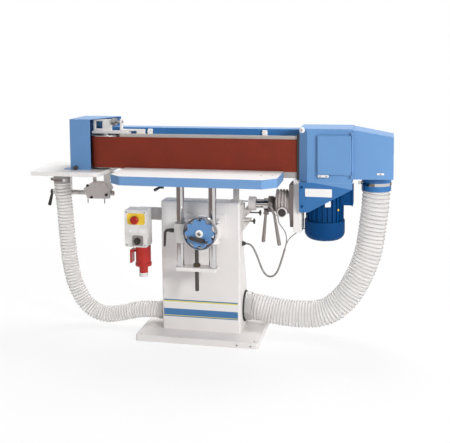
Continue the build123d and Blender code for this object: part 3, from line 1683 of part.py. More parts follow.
# Crank handle, folded flat over the disc, with the eye that turns on the disc's pin
with BuildPart() as crank_handle:
    with Locations(crank_plane.location):
        Cylinder(crank_eye_r, crank_eye_w)
    bar(crank_spot, crank_spot + crank_run * crank_neck_l, crank_neck_r)
    grip(crank_spot + crank_run * crank_neck_l, crank_spot + crank_run * crank_l, crank_r, crank_tip_r)
    with Locations(crank_plane.location):
        Cylinder(crank_pin_r + run_gap, crank_eye_w, mode=Mode.SUBTRACT)

# Height clamp lever on the guide's left sleeve
height_hub_x1 = lift_left_x - guide_sleeve_r - free_gap
with BuildPart() as height_lever:
    bar(
        (height_hub_x1 - height_lever_hub_l, lift_y, height_lever_z),
        (height_hub_x1, lift_y, height_lever_z),
        height_lever_hub_r,
    )
    bar(
        (height_hub_x1, lift_y, height_lever_z),
        (height_hub_x1 + lever_stud_l, lift_y, height_lever_z),
        lever_pin_r,
    )
    grip(
        (height_hub_x1 - height_lever_hub_l / 2, lift_y, height_lever_z),
        (height_hub_x1 - height_lever_lean, lift_y, height_lever_z - height_lever_l),
        lever_root_r,
        lever_tip_r,
    )

# Table: cast plate with cut corners, a ribbed underside and bosses
table_mid_x = (table_left + table_right) / 2
table_mid_y = (table_front_y + table_back_y) / 2
table_outline = [
    (table_left + table_cut_x, table_front_y),
    (table_right - table_cut_x, table_front_y),
    (table_right, table_front_y + table_cut_y),
    (table_right, table_back_y),
    (table_left, table_back_y),
    (table_left, table_front_y + table_cut_y),
]
with BuildPart() as table:
    with BuildSketch(Plane.XY.offset(table_z0)) as table_plan:
        with BuildLine():
            Polyline(*table_outline, close=True)
        make_face()
        fillet(table_plan.vertices(), table_edge_r)
    extrude(amount=table_t)
    with BuildSketch(Plane.XY.offset(table_z0)):
        with BuildLine():
            Polyline(*table_outline, close=True)
        make_face()
        offset(amount=-table_rim, kind=Kind.INTERSECTION, mode=Mode.REPLACE)
        with Locations((table_mid_x, lift_y)):
            Rectangle(table_right - table_left, table_rib, mode=Mode.SUBTRACT)
        with Locations((table_mid_x, table_mid_y)):
            with GridLocations((table_right - table_left) / (table_rib_count + 1), 1, table_rib_count, 1):
                Rectangle(table_rib, table_back_y - table_front_y, mode=Mode.SUBTRACT)
        with Locations((lift_left_x, lift_y), (lift_right_x, lift_y)):
            Circle(table_boss_r, mode=Mode.SUBTRACT)
        with Locations((table_lever_x, table_lever_y)):
            Circle(table_lever_boss_r, mode=Mode.SUBTRACT)
        with Locations((fence_hole_x, fence_hole_y)):
            with GridLocations(fence_hole_pitch, 1, 2, 1):
                Circle(fence_boss_r, mode=Mode.SUBTRACT)
    extrude(amount=table_t - table_skin, mode=Mode.SUBTRACT)
    with Locations((fence_hole_x, fence_hole_y, table_z1 - fence_hole_depth / 2)):
        with GridLocations(fence_hole_pitch, 1, 2, 1):
            Cylinder(fence_hole_r, fence_hole_depth, mode=Mode.SUBTRACT)
    bar(
        (table_lever_x, table_lever_y, table_z0),
        (table_lever_x, table_lever_y, table_z0 + lever_stud_l),
        lever_pin_r + run_gap,
        Mode.SUBTRACT,
    )

# Small lever under the table
table_lever_z1 = table_z0 - free_gap
table_lever_z = table_lever_z1 - table_lever_hub_l / 2
with BuildPart() as table_lever:
    bar(
        (table_lever_x, table_lever_y, table_lever_z1 - table_lever_hub_l),
        (table_lever_x, table_lever_y, table_lever_z1),
        table_lever_hub_r,
    )
    bar(
        (table_lever_x, table_lever_y, table_lever_z1),
        (table_lever_x, table_lever_y, table_lever_z1 + lever_stud_l),
        lever_pin_r,
    )
    grip(
        (table_lever_x, table_lever_y, table_lever_z),
        (table_lever_x - table_lever_l, table_lever_y - table_lever_lean, table_lever_z - table_lever_drop),
        lever_root_r - 1,
        lever_tip_r - 2,
    )

# Control box on the column's arm, with the button's and the switch's holes
panel_front_y = panel_back_y - panel_d
panel_z0 = panel_z1 - panel_h
estop_z = panel_z0 + estop_rise
switch_z = panel_z0 + switch_rise
with BuildPart() as control_box:
    slab((panel_x0, panel_front_y, panel_z0), (panel_x1, panel_back_y, panel_z1))
    fillet(control_box.edges().filter_by(Axis.Y), panel_corner_r)
    bar(
        (estop_x, panel_front_y, estop_z),
        (estop_x, panel_front_y + estop_stem_in + estop_travel + free_gap, estop_z),
        estop_stem_r + free_gap,
        Mode.SUBTRACT,
    )
    bar(
        (switch_x, panel_front_y, switch_z),
        (switch_x, panel_front_y + switch_stem_l + free_gap, switch_z),
        switch_stem_r + run_gap,
        Mode.SUBTRACT,
    )

# Emergency stop button
estop_back_y = panel_front_y - estop_travel - free_gap
with BuildPart() as estop_button:
    bar(
        (estop_x, estop_back_y - estop_head_t, estop_z),
        (estop_x, estop_back_y, estop_z),
        estop_head_r,
    )
    chamfer(estop_button.edges().sort_by(Axis.Y)[0], estop_head_t / 3)
    bar(
        (estop_x, estop_back_y, estop_z),
        (estop_x, panel_front_y + estop_stem_in, estop_z),
        estop_stem_r,
    )

# Rotary switch knob with its finger bar
switch_back_y = panel_front_y - free_gap
with BuildPart() as switch_knob:
    bar((switch_x, switch_back_y - switch_t, switch_z), (switch_x, switch_back_y, switch_z), switch_r)
    slab(
        (switch_x - switch_bar_w / 2, switch_back_y - switch_t - switch_bar_t, switch_z - switch_r),
        (switch_x + switch_bar_w / 2, switch_back_y - switch_t, switch_z + switch_r),
    )
    bar(
        (switch_x, switch_back_y, switch_z),
        (switch_x, panel_front_y + switch_stem_l, switch_z),
        switch_stem_r,
    )

# Mains inlet under the box, with the lug and pin of its lid
inlet_y = (panel_front_y + panel_back_y) / 2
inlet_z0 = panel_z0 - inlet_l
lid_x = inlet_x - inlet_r - lid_pin_out
lid_z = panel_z0 - lid_pin_drop
with BuildPart() as mains_inlet:
    bar((inlet_x, inlet_y, inlet_z0), (inlet_x, inlet_y, panel_z0), inlet_r)
    bar((inlet_x, inlet_y, inlet_z0 - inlet_rim_l), (inlet_x, inlet_y, inlet_z0), inlet_rim_r)
    bar(
        (inlet_x, inlet_y, inlet_z0 - inlet_rim_l - inlet_sleeve_l),
        (inlet_x, inlet_y, inlet_z0),
        inlet_sleeve_r,
    )
    lug_r = lid_ear_r - free_gap
    bar((lid_x, inlet_y - lid_lug_w / 2, lid_z), (lid_x, inlet_y + lid_lug_w / 2, lid_z), lug_r)
    slab(
        (lid_x, inlet_y - lid_lug_w / 2, lid_z - lug_r),
        (inlet_x, inlet_y + lid_lug_w / 2, lid_z + lug_r),
    )
    pin_half = lid_lug_w / 2 + free_gap + lid_ear_w
    bar((lid_x, inlet_y - pin_half, lid_z), (lid_x, inlet_y + pin_half, lid_z), lid_pin_r)
    bar(
        (inlet_x, inlet_y, inlet_z0 - inlet_rim_l - inlet_sleeve_l),
        (inlet_x, inlet_y, inlet_z0 - inlet_rim_l - inlet_sleeve_l + inlet_bore_l),
        inlet_bore_r,
        Mode.SUBTRACT,
    )

# Hinged lid of the inlet
lid_x1 = lid_x - lid_ear_r
with BuildPart() as inlet_lid:
    slab(
        (lid_x1 - lid_t, inlet_y - lid_w / 2, lid_z - lid_h),
        (lid_x1, inlet_y + lid_w / 2, lid_z + lid_ear_r),
    )
    for ear_y in (inlet_y - lid_lug_w / 2 - free_gap - lid_ear_w, inlet_y + lid_lug_w / 2 + free_gap):
        slab((lid_x1, ear_y, lid_z - lid_ear_r), (lid_x, ear_y + lid_ear_w, lid_z + lid_ear_r))
        bar((lid_x, ear_y, lid_z), (lid_x, ear_y + lid_ear_w, lid_z), lid_ear_r)
        bar((lid_x, ear_y, lid_z), (lid_x, ear_y + lid_ear_w, lid_z), lid_pin_r + run_gap, Mode.SUBTRACT)

# Cable gland on the column's side
gland_z = col_top_z - gland_drop
gland_x1 = col_side_x + gland_l
with BuildPart() as cable_gland:
    bar((col_side_x, gland_y, gland_z), (col_side_x + gland_nut_l, gland_y, gland_z), gland_r)
    bar((col_side_x, gland_y, gland_z), (gland_x1, gland_y, gland_z), gland_tip_r)

# Conduit from the gland to the split
split_x = 394.0
split_z = 432.0
conduit_points = [
    (gland_x1, gland_y, gland_z),
    (225, gland_y, gland_z),
    (243, gland_y, 432),
    (257, gland_y, 403),
    (269, gland_y, 372),
    (280, gland_y, 341),
    (294, gland_y, 312),
    (314, gland_y, 294),
    (338, gland_y, 296),
    (356, gland_y, 315),
    (369, gland_y, 346),
    (381, gland_y, 385.2),
    (split_x, gland_y, split_z),
]
conduit_path = route("cable_conduit", conduit_points)
with BuildPart() as cable_conduit:
    with BuildSketch(start_plane(conduit_path)):
        Circle(conduit_r)
    sweep(path=conduit_path)
compare_volume("cable_conduit", cable_conduit.part, pi * conduit_r**2, conduit_path)

# Thin cable from the split to the hub
switch_points = [
    (split_x, switch_cable_y, split_z),
    (402, switch_cable_y, 460.8),
    (403, switch_cable_y, 491),
    (393, switch_cable_y, 519),
    (376, switch_cable_y, 541),
    (hub_nub_x, switch_cable_y, 562),
    (hub_nub_x, switch_cable_y, hub_nub_z),
]
switch_path = route("switch_cable", switch_points)
with BuildPart() as switch_cable:
    with BuildSketch(start_plane(switch_path)):
        Circle(cable_r)
    sweep(path=switch_path)
compare_volume("switch_cable", switch_cable.part, pi * cable_r**2, switch_path)

# Thin cable from the split round the back of the motor to its terminal box
motor_points = [
    (split_x, motor_cable_y, split_z),
    (402, motor_cable_y, 460.8),
    (418, -52, 484),
    (440, -28, 500),
    (463, 3, 510),
    (487, 36, 516),
    (509, 62, 525),
    (527, 81, 540),
    (motor_nub_x, motor_nub_y, 562),
    (motor_nub_x, motor_nub_y, box_z0 - cable_nub_l),
]
motor_path = route("motor_cable", motor_points)
with BuildPart() as motor_cable:
    with BuildSketch(start_plane(motor_path)):
        Circle(cable_r)
    sweep(path=motor_path)
compare_volume("motor_cable", motor_cable.part, pi * cable_r**2, motor_path)


def ribbed_hose(name, points, crest_r, root_r, bore_r, rib_count, cuff):
    """A hose with plain cuffs, trapezoid ribs between them and a bore along its whole length."""
    path = route(name, points)
    pitch = (path.length - 2 * cuff) / rib_count
    rings = [(0.0, crest_r), (cuff, crest_r)]
    for rib in range(rib_count):
        start = cuff + rib * pitch
        rings += [(start + pitch / 3, root_r), (start + pitch * 2 / 3, crest_r), (start + pitch, crest_r)]
    rings.append((path.length, crest_r))
    with BuildPart() as hose:
        for along, radius in rings:
            at = path.position_at(along, position_mode=PositionMode.LENGTH)
            facing = path.tangent_at(along, position_mode=PositionMode.LENGTH)
            with BuildSketch(Plane(at, x_dir=(0, 1, 0), z_dir=facing)):
                Circle(radius)
        loft(ruled=True)
        with BuildSketch(Plane(path @ 0, x_dir=(0, 1, 0), z_dir=path % 0)):
            Circle(bore_r)
        sweep(path=path, mode=Mode.SUBTRACT)
    mean_area = pi * ((crest_r + root_r) ** 2 / 4 - bore_r**2)
    compare_volume(name, hose.part, mean_area, path)
    return hose


# Large hose from the duct's collar down to the column
right_hose_points = [
    (collar_x, big_entry_y, collar_seat_z - free_gap),
    (collar_x, big_entry_y, 635),
    (815, big_entry_y, 515),
    (797, big_entry_y, 400),
    (752, big_entry_y, 296),
    (682, big_entry_y, 212),
    (588, big_entry_y, 150),
    (475, big_entry_y, 118),
    (340, big_entry_y, big_entry_z),
    (hose_end_x, big_entry_y, big_entry_z),
]
right_hose = ribbed_hose(
    "right_hose", right_hose_points, big_hose_r, big_root_r, big_bore_r, big_rib_count, hose_cuff
)

# Small hose from the side table's port down to the column
left_hose_points = [
    (port_x, small_entry_y, port_flange_z0 - free_gap),
    (port_x, small_entry_y, 640),
    (-717, small_entry_y, 535),
    (-706, small_entry_y, 430),
    (-686, small_entry_y, 330),
    (-652, small_entry_y, 235),
    (-600, small_entry_y, 150),
    (-530, small_entry_y, 85),
    (-445, small_entry_y, 55),
    (-360, small_entry_y, 64),
    (-290, small_entry_y, small_entry_z),
    (-hose_end_x, small_entry_y, small_entry_z),
]
left_hose = ribbed_hose(
    "left_hose", left_hose_points, small_hose_r, small_root_r, small_bore_r, small_rib_count, hose_cuff
)

pieces = {
    "base_plate": base_plate,
    "column": column,
    "dust_manifold": dust_manifold,
    "hose_grommets": hose_grommets,
    "pivot_bracket": pivot_bracket,
    "pivot_shaft": pivot_shaft,
    "shaft_lever": shaft_lever,
    "tilt_hub": tilt_hub,
    "hub_cap": hub_cap,
    "hub_lever": hub_lever,
    "stop_post": stop_post,
    "tilt_arm": tilt_arm,
    "motor_plate": motor_plate,
    "main_beam": main_beam,
    "platen": platen,
    "graphite_pad": graphite_pad,
    "sanding_belt": sanding_belt,
    "drive_drum": drive_drum,
    "motor_body": motor_body,
    "fan_cover": fan_cover,
    "drive_hood": drive_hood,
    "hood_door": hood_door,
    "dust_duct": dust_duct,
    "hose_clamps": hose_clamps,
    "lower_guard": lower_guard,
    "rear_cover": rear_cover,
    "tension_fork": tension_fork,
    "idler_drum": idler_drum,
    "tension_screw": tension_screw,
    "aux_table": aux_table,
    "idler_guard": idler_guard,
    "aux_port": aux_port,
    "aux_bar": aux_bar,
    "aux_block": aux_block,
    "aux_strap": aux_strap,
    "aux_lever": aux_lever,
    "guide_bracket": guide_bracket,
    "guide_bushes": guide_bushes,
    "lift_columns": lift_columns,
    "cross_plate": cross_plate,
    "lift_nut": lift_nut,
    "lead_screw": lead_screw,
    "handwheel": handwheel,
    "handwheel_disc": handwheel_disc,
    "crank_handle": crank_handle,
    "height_lever": height_lever,
    "table": table,
    "table_lever": table_lever,
    "control_box": control_box,
    "estop_button": estop_button,
    "switch_knob": switch_knob,
    "mains_inlet": mains_inlet,
    "inlet_lid": inlet_lid,
    "cable_gland": cable_gland,
    "cable_conduit": cable_conduit,
    "switch_cable": switch_cable,
    "motor_cable": motor_cable,
    "right_hose": right_hose,
    "left_hose": left_hose,
}
for piece_name, piece in pieces.items():
    piece.part.label = piece_name
    export_step(piece.part, f"parts/{piece_name}.step")
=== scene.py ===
import json
from math import cos, pi, radians, sin

import bmesh
import bpy
from mathutils import Matrix, Vector
from mathutils.bvhtree import BVHTree


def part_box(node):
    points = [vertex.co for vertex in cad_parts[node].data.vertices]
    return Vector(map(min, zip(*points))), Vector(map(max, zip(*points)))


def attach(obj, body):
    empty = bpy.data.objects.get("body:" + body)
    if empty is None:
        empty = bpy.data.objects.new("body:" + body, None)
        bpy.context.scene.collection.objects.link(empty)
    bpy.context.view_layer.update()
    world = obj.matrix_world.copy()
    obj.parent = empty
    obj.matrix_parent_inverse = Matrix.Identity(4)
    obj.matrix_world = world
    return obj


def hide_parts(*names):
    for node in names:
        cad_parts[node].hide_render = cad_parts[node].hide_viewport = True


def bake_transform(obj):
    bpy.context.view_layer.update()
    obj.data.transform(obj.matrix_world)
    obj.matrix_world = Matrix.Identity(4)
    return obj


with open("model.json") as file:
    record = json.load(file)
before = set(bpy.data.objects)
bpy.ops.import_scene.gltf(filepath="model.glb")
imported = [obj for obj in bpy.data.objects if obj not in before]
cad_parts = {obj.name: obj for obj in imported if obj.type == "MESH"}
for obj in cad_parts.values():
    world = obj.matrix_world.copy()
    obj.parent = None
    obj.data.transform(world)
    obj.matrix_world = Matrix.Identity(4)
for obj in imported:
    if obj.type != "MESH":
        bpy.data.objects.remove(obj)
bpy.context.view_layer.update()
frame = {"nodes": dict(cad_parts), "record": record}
nodes = frame["nodes"]
scene = bpy.context.scene

# The view: the machine seen from its working side, a little from the right and from just above the belt,
# through a long lens whose frame is lowered to take in the base.
lens_mm = 61.24
camera_place = Vector((0.8527, -3.5694, 1.3408))
look_left_deg = 12.02
look_down_deg = 5.55
roll_deg = -0.44
frame_shift = (0.0021, -0.2052)
camera_data = bpy.data.cameras.new("camera")
camera_data.lens = lens_mm
camera_data.shift_x, camera_data.shift_y = frame_shift
camera = bpy.data.objects.new("camera", camera_data)
scene.collection.objects.link(camera)
turn = Matrix.Rotation(radians(look_left_deg), 4, "Z")
tip = Matrix.Rotation(radians(90 - look_down_deg), 4, "X")
roll = Matrix.Rotation(radians(roll_deg), 4, "Z")
camera.matrix_world = Matrix.Translation(camera_place) @ turn @ tip @ roll
scene.camera = camera
scene.view_settings.view_transform = "Standard"

# The studio: a pale floor that fades into a white ground, one lamp high at the right of the camera, which
# alone shows in bright metal, a weak one at the left and two soft ones above and behind.
# Two dark cards stand out of the picture, so that bright metal has dark sides, as it has in a workshop.
lamps = [
    ("key_lamp", (3.3, -3.0, 2.1), 0.9, 124, True),
    ("fill_lamp", (-2.4, -3.4, 1.5), 2.4, 19, False),
    ("top_lamp", (0.3, 1.2, 3.5), 1.6, 80, False),
    ("back_lamp", (-0.8, 3.6, 2.6), 2.4, 40, False),
]
aim = Vector((0.0, -0.1, 0.6))
floor_half = 30.0
floor_drop = 0.0004
card_top = 0.8


def linear(code):
    """An sRGB hex colour as linear red, green, blue and alpha."""
    shares = [int(code[at : at + 2], 16) / 255 for at in (1, 3, 5)]
    return [s / 12.92 if s <= 0.04045 else ((s + 0.055) / 1.055) ** 2.4 for s in shares] + [1.0]


def join(tree, links, inputs):
    """Inputs joined to other nodes' sockets, or where only a node is named, to its first output."""
    for name, source in links.items():
        tree.links.new(getattr(source, "outputs", [source])[0], inputs[name])


def add(tree, kind, settings=None, links=None):
    """A node with its settings, which are sockets or properties, and its inputs joined to other nodes.
    Its kind is Blender's name for it, less the word ShaderNode where it starts with that."""
    node = tree.nodes.new(kind if "Node" in kind else "ShaderNode" + kind)
    for name, value in (settings or {}).items():
        if isinstance(name, int) or name in node.inputs:
            node.inputs[name].default_value = value
        else:
            setattr(node, name, value)
    join(tree, links or {}, node.inputs)
    return node


def show(name, mesh):
    """A new object for a mesh, in the scene."""
    piece = bpy.data.objects.new(name, mesh)
    scene.collection.objects.link(piece)
    return piece


def emptied(owner):
    """The node tree of a material or world, with nothing in it."""
    owner.use_nodes = True
    owner.node_tree.nodes.clear()
    return owner.node_tree


def seen_rays(tree):
    """One where a surface is seen, straight or in metal or through a clear piece, and zero elsewhere."""
    ray = add(tree, "LightPath").outputs
    seen = ray["Is Camera Ray"]
    for way in ("Is Glossy Ray", "Is Transmission Ray"):
        seen = add(tree, "Math", {"operation": "MAXIMUM"}, {0: seen, 1: ray[way]})
    return seen


for name, place, size, watts, mirrored in lamps:
    lamp = bpy.data.lights.new(name, "AREA")
    lamp.size = size
    lamp.energy = watts
    holder = show(name, lamp)
    holder.visible_glossy = mirrored
    holder.location = place
    holder.rotation_euler = (aim - Vector(place)).to_track_quat("-Z", "Y").to_euler()

world = bpy.data.worlds.new("studio")
scene.world = world
sky = emptied(world)
ground = add(sky, "Background", {"Color": (1, 1, 1, 1), "Strength": 1.0})
toward = add(sky, "SeparateXYZ", None, {0: add(sky, "TexCoord").outputs["Generated"]})
flags = add(sky, "MapRange", {"From Min": -0.85, "From Max": 0.15, "To Min": 0.10, "To Max": 0.52},
            {"Value": toward.outputs["X"]})
glow = add(sky, "Background", {"Color": linear("#f4f3f2")}, {"Strength": flags})
mixed = add(sky, "MixShader", None, {0: seen_rays(sky), 1: glow, 2: ground})
add(sky, "OutputWorld", None, {"Surface": mixed})

floor_mesh = bpy.data.meshes.new("floor")
floor_corners = ((-floor_half, -floor_half), (floor_half, -floor_half), (floor_half, floor_half),
                 (-floor_half, floor_half))
floor_mesh.from_pydata([(x, y, -floor_drop) for x, y in floor_corners], [], [(0, 1, 2, 3)])
floor_material = bpy.data.materials.new("studio_floor")
floor_tree = emptied(floor_material)
place = add(floor_tree, "TexCoord").outputs["Object"]
away = add(floor_tree, "VectorMath", {"operation": "LENGTH"}, {0: place})
fade = add(floor_tree, "MapRange", {"From Min": 0.5, "From Max": 2.4, "To Min": 0.8, "To Max": 1.0},
           {"Value": away.outputs["Value"]})
share = add(floor_tree, "Math", {"operation": "MULTIPLY"}, {0: seen_rays(floor_tree), 1: fade})
matt = add(floor_tree, "BsdfDiffuse", {"Color": linear("#f4f4f4")})
white = add(floor_tree, "Emission", {"Color": (1, 1, 1, 1), "Strength": 1.0})
mixed = add(floor_tree, "MixShader", None, {0: share, 1: matt, 2: white})
add(floor_tree, "OutputMaterial", None, {"Surface": mixed})
floor_mesh.materials.append(floor_material)
show("floor", floor_mesh)

card_material = bpy.data.materials.new("dark_card")
card_tree = emptied(card_material)
brown = add(card_tree, "Emission", {"Color": linear("#8f8581"), "Strength": 1.0})
add(card_tree, "OutputMaterial", None, {"Surface": brown})
for name, feet in (
    ("left_card", ((-1.7, 1.0), (-1.7, -1.2), (-0.9, -1.9), (0.42, -1.9))),
    ("right_card", ((1.8, 0.6), (1.6, 1.2), (0.9, 1.8), (-0.2, 1.8))),
):
    card_mesh = bpy.data.meshes.new(name)
    count = len(feet)
    card_mesh.from_pydata([(x, y, z) for z in (0, card_top) for x, y in feet], [],
                          [(at, at + 1, at + count + 1, at + count) for at in range(count - 1)])
    card_mesh.materials.append(card_material)
    card = show(name, card_mesh)
    card.visible_camera = card.visible_diffuse = card.visible_transmission = card.visible_shadow = False

# Base plate: a thick steel plate on the floor, flame cut, drilled for floor bolts and powder coated white.
# Its edges are broken by the grinder, so each carries a thin line of light; the coat also paints its edges
# lighter, as a painted highlight.
merge_gap = 1e-5
flat_angle = 1.0
round_angle = 30.0
smooth_angle = 32.0
body_of = {node: body for body, group in frame["record"]["behaviour"]["bodies"].items() for node in group}


def settle(piece):
    """The piece's modifiers taken into a plain mesh."""
    done = bpy.data.meshes.new_from_object(piece.evaluated_get(bpy.context.evaluated_depsgraph_get()))
    piece.modifiers.clear()
    old = piece.data
    piece.data = done
    bpy.data.meshes.remove(old)


def smooth(piece):
    """Smooth faces inside the sharp edges, weighted so that flat faces stay flat."""
    piece.data.shade_smooth()
    piece.data.set_sharp_from_angle(angle=radians(smooth_angle))
    weighted = piece.modifiers.new("weighted", "WEIGHTED_NORMAL")
    weighted.keep_sharp = True
    settle(piece)


def round_edges(piece, radius_mm, segments=2):
    """Sharp edges rounded over."""
    edge = piece.modifiers.new("edge", "BEVEL")
    edge.width = radius_mm / 1000
    edge.segments = segments
    edge.limit_method = "ANGLE"
    edge.angle_limit = radians(round_angle)
    settle(piece)


def place_on(piece, body, material=None):
    """A new piece given its material and its body."""
    if material is not None:
        piece.data.materials.clear()
        piece.data.materials.append(material)
    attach(piece, body)
    return piece


def stand_for(piece, node, material):
    """A piece that takes the place of a CAD node, on its body and with its material."""
    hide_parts(node)
    return place_on(piece, body_of[node], material)


def dress(node, radius_mm, material, segments=2):
    """A copy of a CAD node with its edges rounded over, which stands for the node and moves with its body."""
    mesh = nodes[node].data.copy()
    work = bmesh.new()
    work.from_mesh(mesh)
    bmesh.ops.remove_doubles(work, verts=work.verts, dist=merge_gap)
    bmesh.ops.dissolve_limit(work, angle_limit=radians(flat_angle), verts=work.verts, edges=work.edges)
    work.to_mesh(mesh)
    work.free()
    piece = show(node + "_piece", mesh)
    if radius_mm:
        round_edges(piece, radius_mm, segments)
    smooth(piece)
    return stand_for(piece, node, material)


def start_material(name):
    """A new material, its node tree and the place on the piece, which its patterns read."""
    material = bpy.data.materials.new(name)
    material.use_nodes = True
    tree = material.node_tree
    return material, tree, add(tree, "TexCoord").outputs["Object"]


def set_shader(tree, links, values=None):
    """The shader's sockets, joined to patterns or set to plain values."""
    inputs = tree.nodes["Principled BSDF"].inputs
    join(tree, links, inputs)
    for name, value in (values or {}).items():
        inputs[name].default_value = value


def shaded(tree, colour, pattern, low, high, full=0.7):
    """A colour that a pattern darkens and lightens, from a low share of it to a high one."""
    shade = add(tree, "MapRange", {"From Min": 0.3, "From Max": full, "To Min": low, "To Max": high},
                {"Value": pattern})
    return add(tree, "VectorMath", {"operation": "SCALE", 0: linear(colour)[:3]}, {"Scale": shade})


def powder_coat(name, colour, rubbed_and_lit_edge, roughness, shine=0.5):
    """Powder coat on steel: an even colour with a faint drift, orange peel, and edges painted lighter, partly
    thin rubbed paint and partly a painted highlight.
    """
    drift_mm = 240
    peel_mm = 2.2
    edge_mm = 2.5
    material, tree, place = start_material(name)
    drift = add(tree, "TexNoise", {"Scale": 1000 / drift_mm, "Detail": 2.0}, {"Vector": place})
    tone = shaded(tree, colour, drift, 0.95, 1.03)
    # Where the bevel bends the normal, the colour goes lighter: a painted highlight along every edge, with some
    # rubbed paint.
    corner = add(tree, "Bevel", {"Radius": edge_mm / 1000, "samples": 4})
    surface = add(tree, "NewGeometry")
    same = add(tree, "VectorMath", {"operation": "DOT_PRODUCT"},
               {0: corner.outputs["Normal"], 1: surface.outputs["Normal"]})
    edge = add(tree, "MapRange", {"From Min": 0.80, "From Max": 0.99, "To Min": 0.6, "To Max": 0.0},
               {"Value": same.outputs["Value"]})
    worn_and_lit = add(tree, "Mix", {"data_type": "RGBA", "B": linear(rubbed_and_lit_edge)}, {"Factor": edge, "A": tone})
    peel = add(tree, "TexNoise", {"Scale": 1000 / peel_mm, "Detail": 1.0}, {"Vector": place})
    bump = add(tree, "Bump", {"Strength": 0.08, "Distance": 0.0004}, {"Height": peel})
    gloss = add(tree, "MapRange", {"To Min": roughness - 0.05, "To Max": roughness + 0.08}, {"Value": drift})
    set_shader(tree, {"Base Color": worn_and_lit.outputs["Result"], "Roughness": gloss, "Normal": bump},
               {"Specular IOR Level": shine})
    return material


# White powder coat is what gives the stand its warm, slightly greyed white with soft broad highlights.
white_coat = powder_coat("white_powder_coat", "#e8e4e2", "#f3f0ee", 0.42)
dress("base_plate", 2.0, white_coat)

# Column: one folded steel sheet with rounded corners, narrow at the neck and deeper at the foot, welded to
# the plate and powder coated white. A plain striped vinyl film crosses its foot.
front, up, left, right, back, down = (
    (0, -1, 0), (0, 0, 1), (-1, 0, 0), (1, 0, 0), (0, 1, 0), (0, 0, -1)
)


def show_work(name, work):
    """A new object for a mesh that has been built up, in the scene."""
    mesh = bpy.data.meshes.new(name)
    work.to_mesh(mesh)
    work.free()
    return show(name, mesh)


def bridge(work, low, high, flip=False):
    """A band of faces between two rings of points, which look the other way where it is flipped."""
    for k in range(len(low)):
        after = (k + 1) % len(low)
        quad = (low[k], low[after], high[after], high[k])
        work.faces.new(reversed(quad) if flip else quad)


def sheet_plate(name, body, spot, look, size, corner, finish):
    """A thin plate with rounded corners that lies on a spot and looks along an axis, upright.
    Its size is its width, height and thickness in millimetres."""
    steps = 6
    rounded_share = 0.3
    width, height, thick = size
    work = bmesh.new()
    outline = []
    for sign_x, sign_y, first in ((1, 1, 0), (-1, 1, 90), (-1, -1, 180), (1, -1, 270)):
        for step in range(steps + 1):
            turn_at = radians(first + 90 * step / steps)
            outline.append((sign_x * (width / 2 - corner) + corner * cos(turn_at),
                            sign_y * (height / 2 - corner) + corner * sin(turn_at)))
    low = [work.verts.new((x / 1000, y / 1000, 0)) for x, y in outline]
    high = [work.verts.new((x / 1000, y / 1000, thick / 1000)) for x, y in outline]
    work.faces.new(reversed(low))
    work.faces.new(high)
    bridge(work, low, high)
    piece = show_work(name, work)
    round_edges(piece, thick * rounded_share)
    smooth(piece)
    ahead = Vector(look).normalized()
    beside = Vector((0, 0, 1)).cross(ahead).normalized()
    above = ahead.cross(beside)
    turn_to = Matrix((beside, above, ahead)).transposed().to_4x4()
    piece.data.transform(Matrix.Translation(Vector(spot) / 1000) @ turn_to)
    return place_on(piece, body, finish)


def striped_film(low_mm, high_mm):
    """Glossy vinyl film in level stripes of blue, yellow and white."""
    blue, yellow, white = "#3f74a8", "#d8cf55", "#e9e6e4"
    stripes = [(low_mm, blue), (96, yellow), (99.5, blue), (131, white), (165, yellow), (171, blue)]
    material, tree, place = start_material("striped_vinyl_film")
    part = add(tree, "SeparateXYZ", None, {0: place})
    height = add(tree, "MapRange", {"From Min": low_mm / 1000, "From Max": high_mm / 1000},
                 {"Value": part.outputs["Z"]})
    ramp = add(tree, "ValToRGB", None, {"Fac": height})
    ramp.color_ramp.interpolation = "CONSTANT"
    ramp.color_ramp.elements[0].color = linear(stripes[0][1])
    ramp.color_ramp.elements.remove(ramp.color_ramp.elements[1])
    for at_mm, colour in stripes[1:]:
        ramp.color_ramp.elements.new((at_mm - low_mm) / (high_mm - low_mm)).color = linear(colour)
    set_shader(tree, {"Base Color": ramp.outputs["Color"]}, {"Roughness": 0.3})
    return material


dress("column", 0, white_coat)
column_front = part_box("column")[0][1] * 1000
film_low, film_high = 92, 176.5
film_mid = (-1.8, column_front, (film_low + film_high) / 2)
film_size = (362, film_high - film_low, 0.4)
sheet_plate("column_film", "stand", film_mid, front, film_size, 0.5,
            striped_film(film_low, film_high))

# Dust manifold: a galvanised sheet duct inside the foot of the column, which takes in both hoses.
# Its outlet at the back has a flange, held to the column's leaning back by six screws.


def zinc_sheet():
    """Hot dip galvanised sheet: dull grey, with pale and dark crystal flakes, half gloss."""
    flake_mm = 9
    material, tree, place = start_material("galvanised_sheet")
    flake = add(tree, "TexVoronoi", {"Scale": 1000 / flake_mm}, {"Vector": place})
    tint = add(tree, "Mix", {"data_type": "RGBA", "A": linear("#9a9c9d"), "B": linear("#c6c8c8")},
               {"Factor": flake.outputs["Color"]})
    dull = add(tree, "MapRange", {"To Min": 0.32, "To Max": 0.5}, {"Value": flake.outputs["Color"]})
    set_shader(tree, {"Base Color": tint.outputs["Result"], "Roughness": dull}, {"Metallic": 0.9})
    return material


def sized_tree(name, sizes):
    """An empty node tree that takes a shape and named sizes, and gives a shape."""
    tree = bpy.data.node_groups.new(name, "GeometryNodeTree")
    tree.interface.new_socket("Geometry", in_out="INPUT", socket_type="NodeSocketGeometry")
    tree.interface.new_socket("Geometry", in_out="OUTPUT", socket_type="NodeSocketGeometry")
    for label, kind in sizes:
        tree.interface.new_socket(label, in_out="INPUT", socket_type="NodeSocket" + kind)
    return tree


def grow(piece, tree, sizes):
    """A piece's node tree, with its named sizes set, taken into a plain mesh."""
    grower = piece.modifiers.new(tree.name, "NODES")
    grower.node_group = tree
    for socket in tree.interface.items_tree:
        if socket.in_out == "INPUT" and socket.name in sizes:
            grower[socket.identifier] = sizes[socket.name]
    settle(piece)


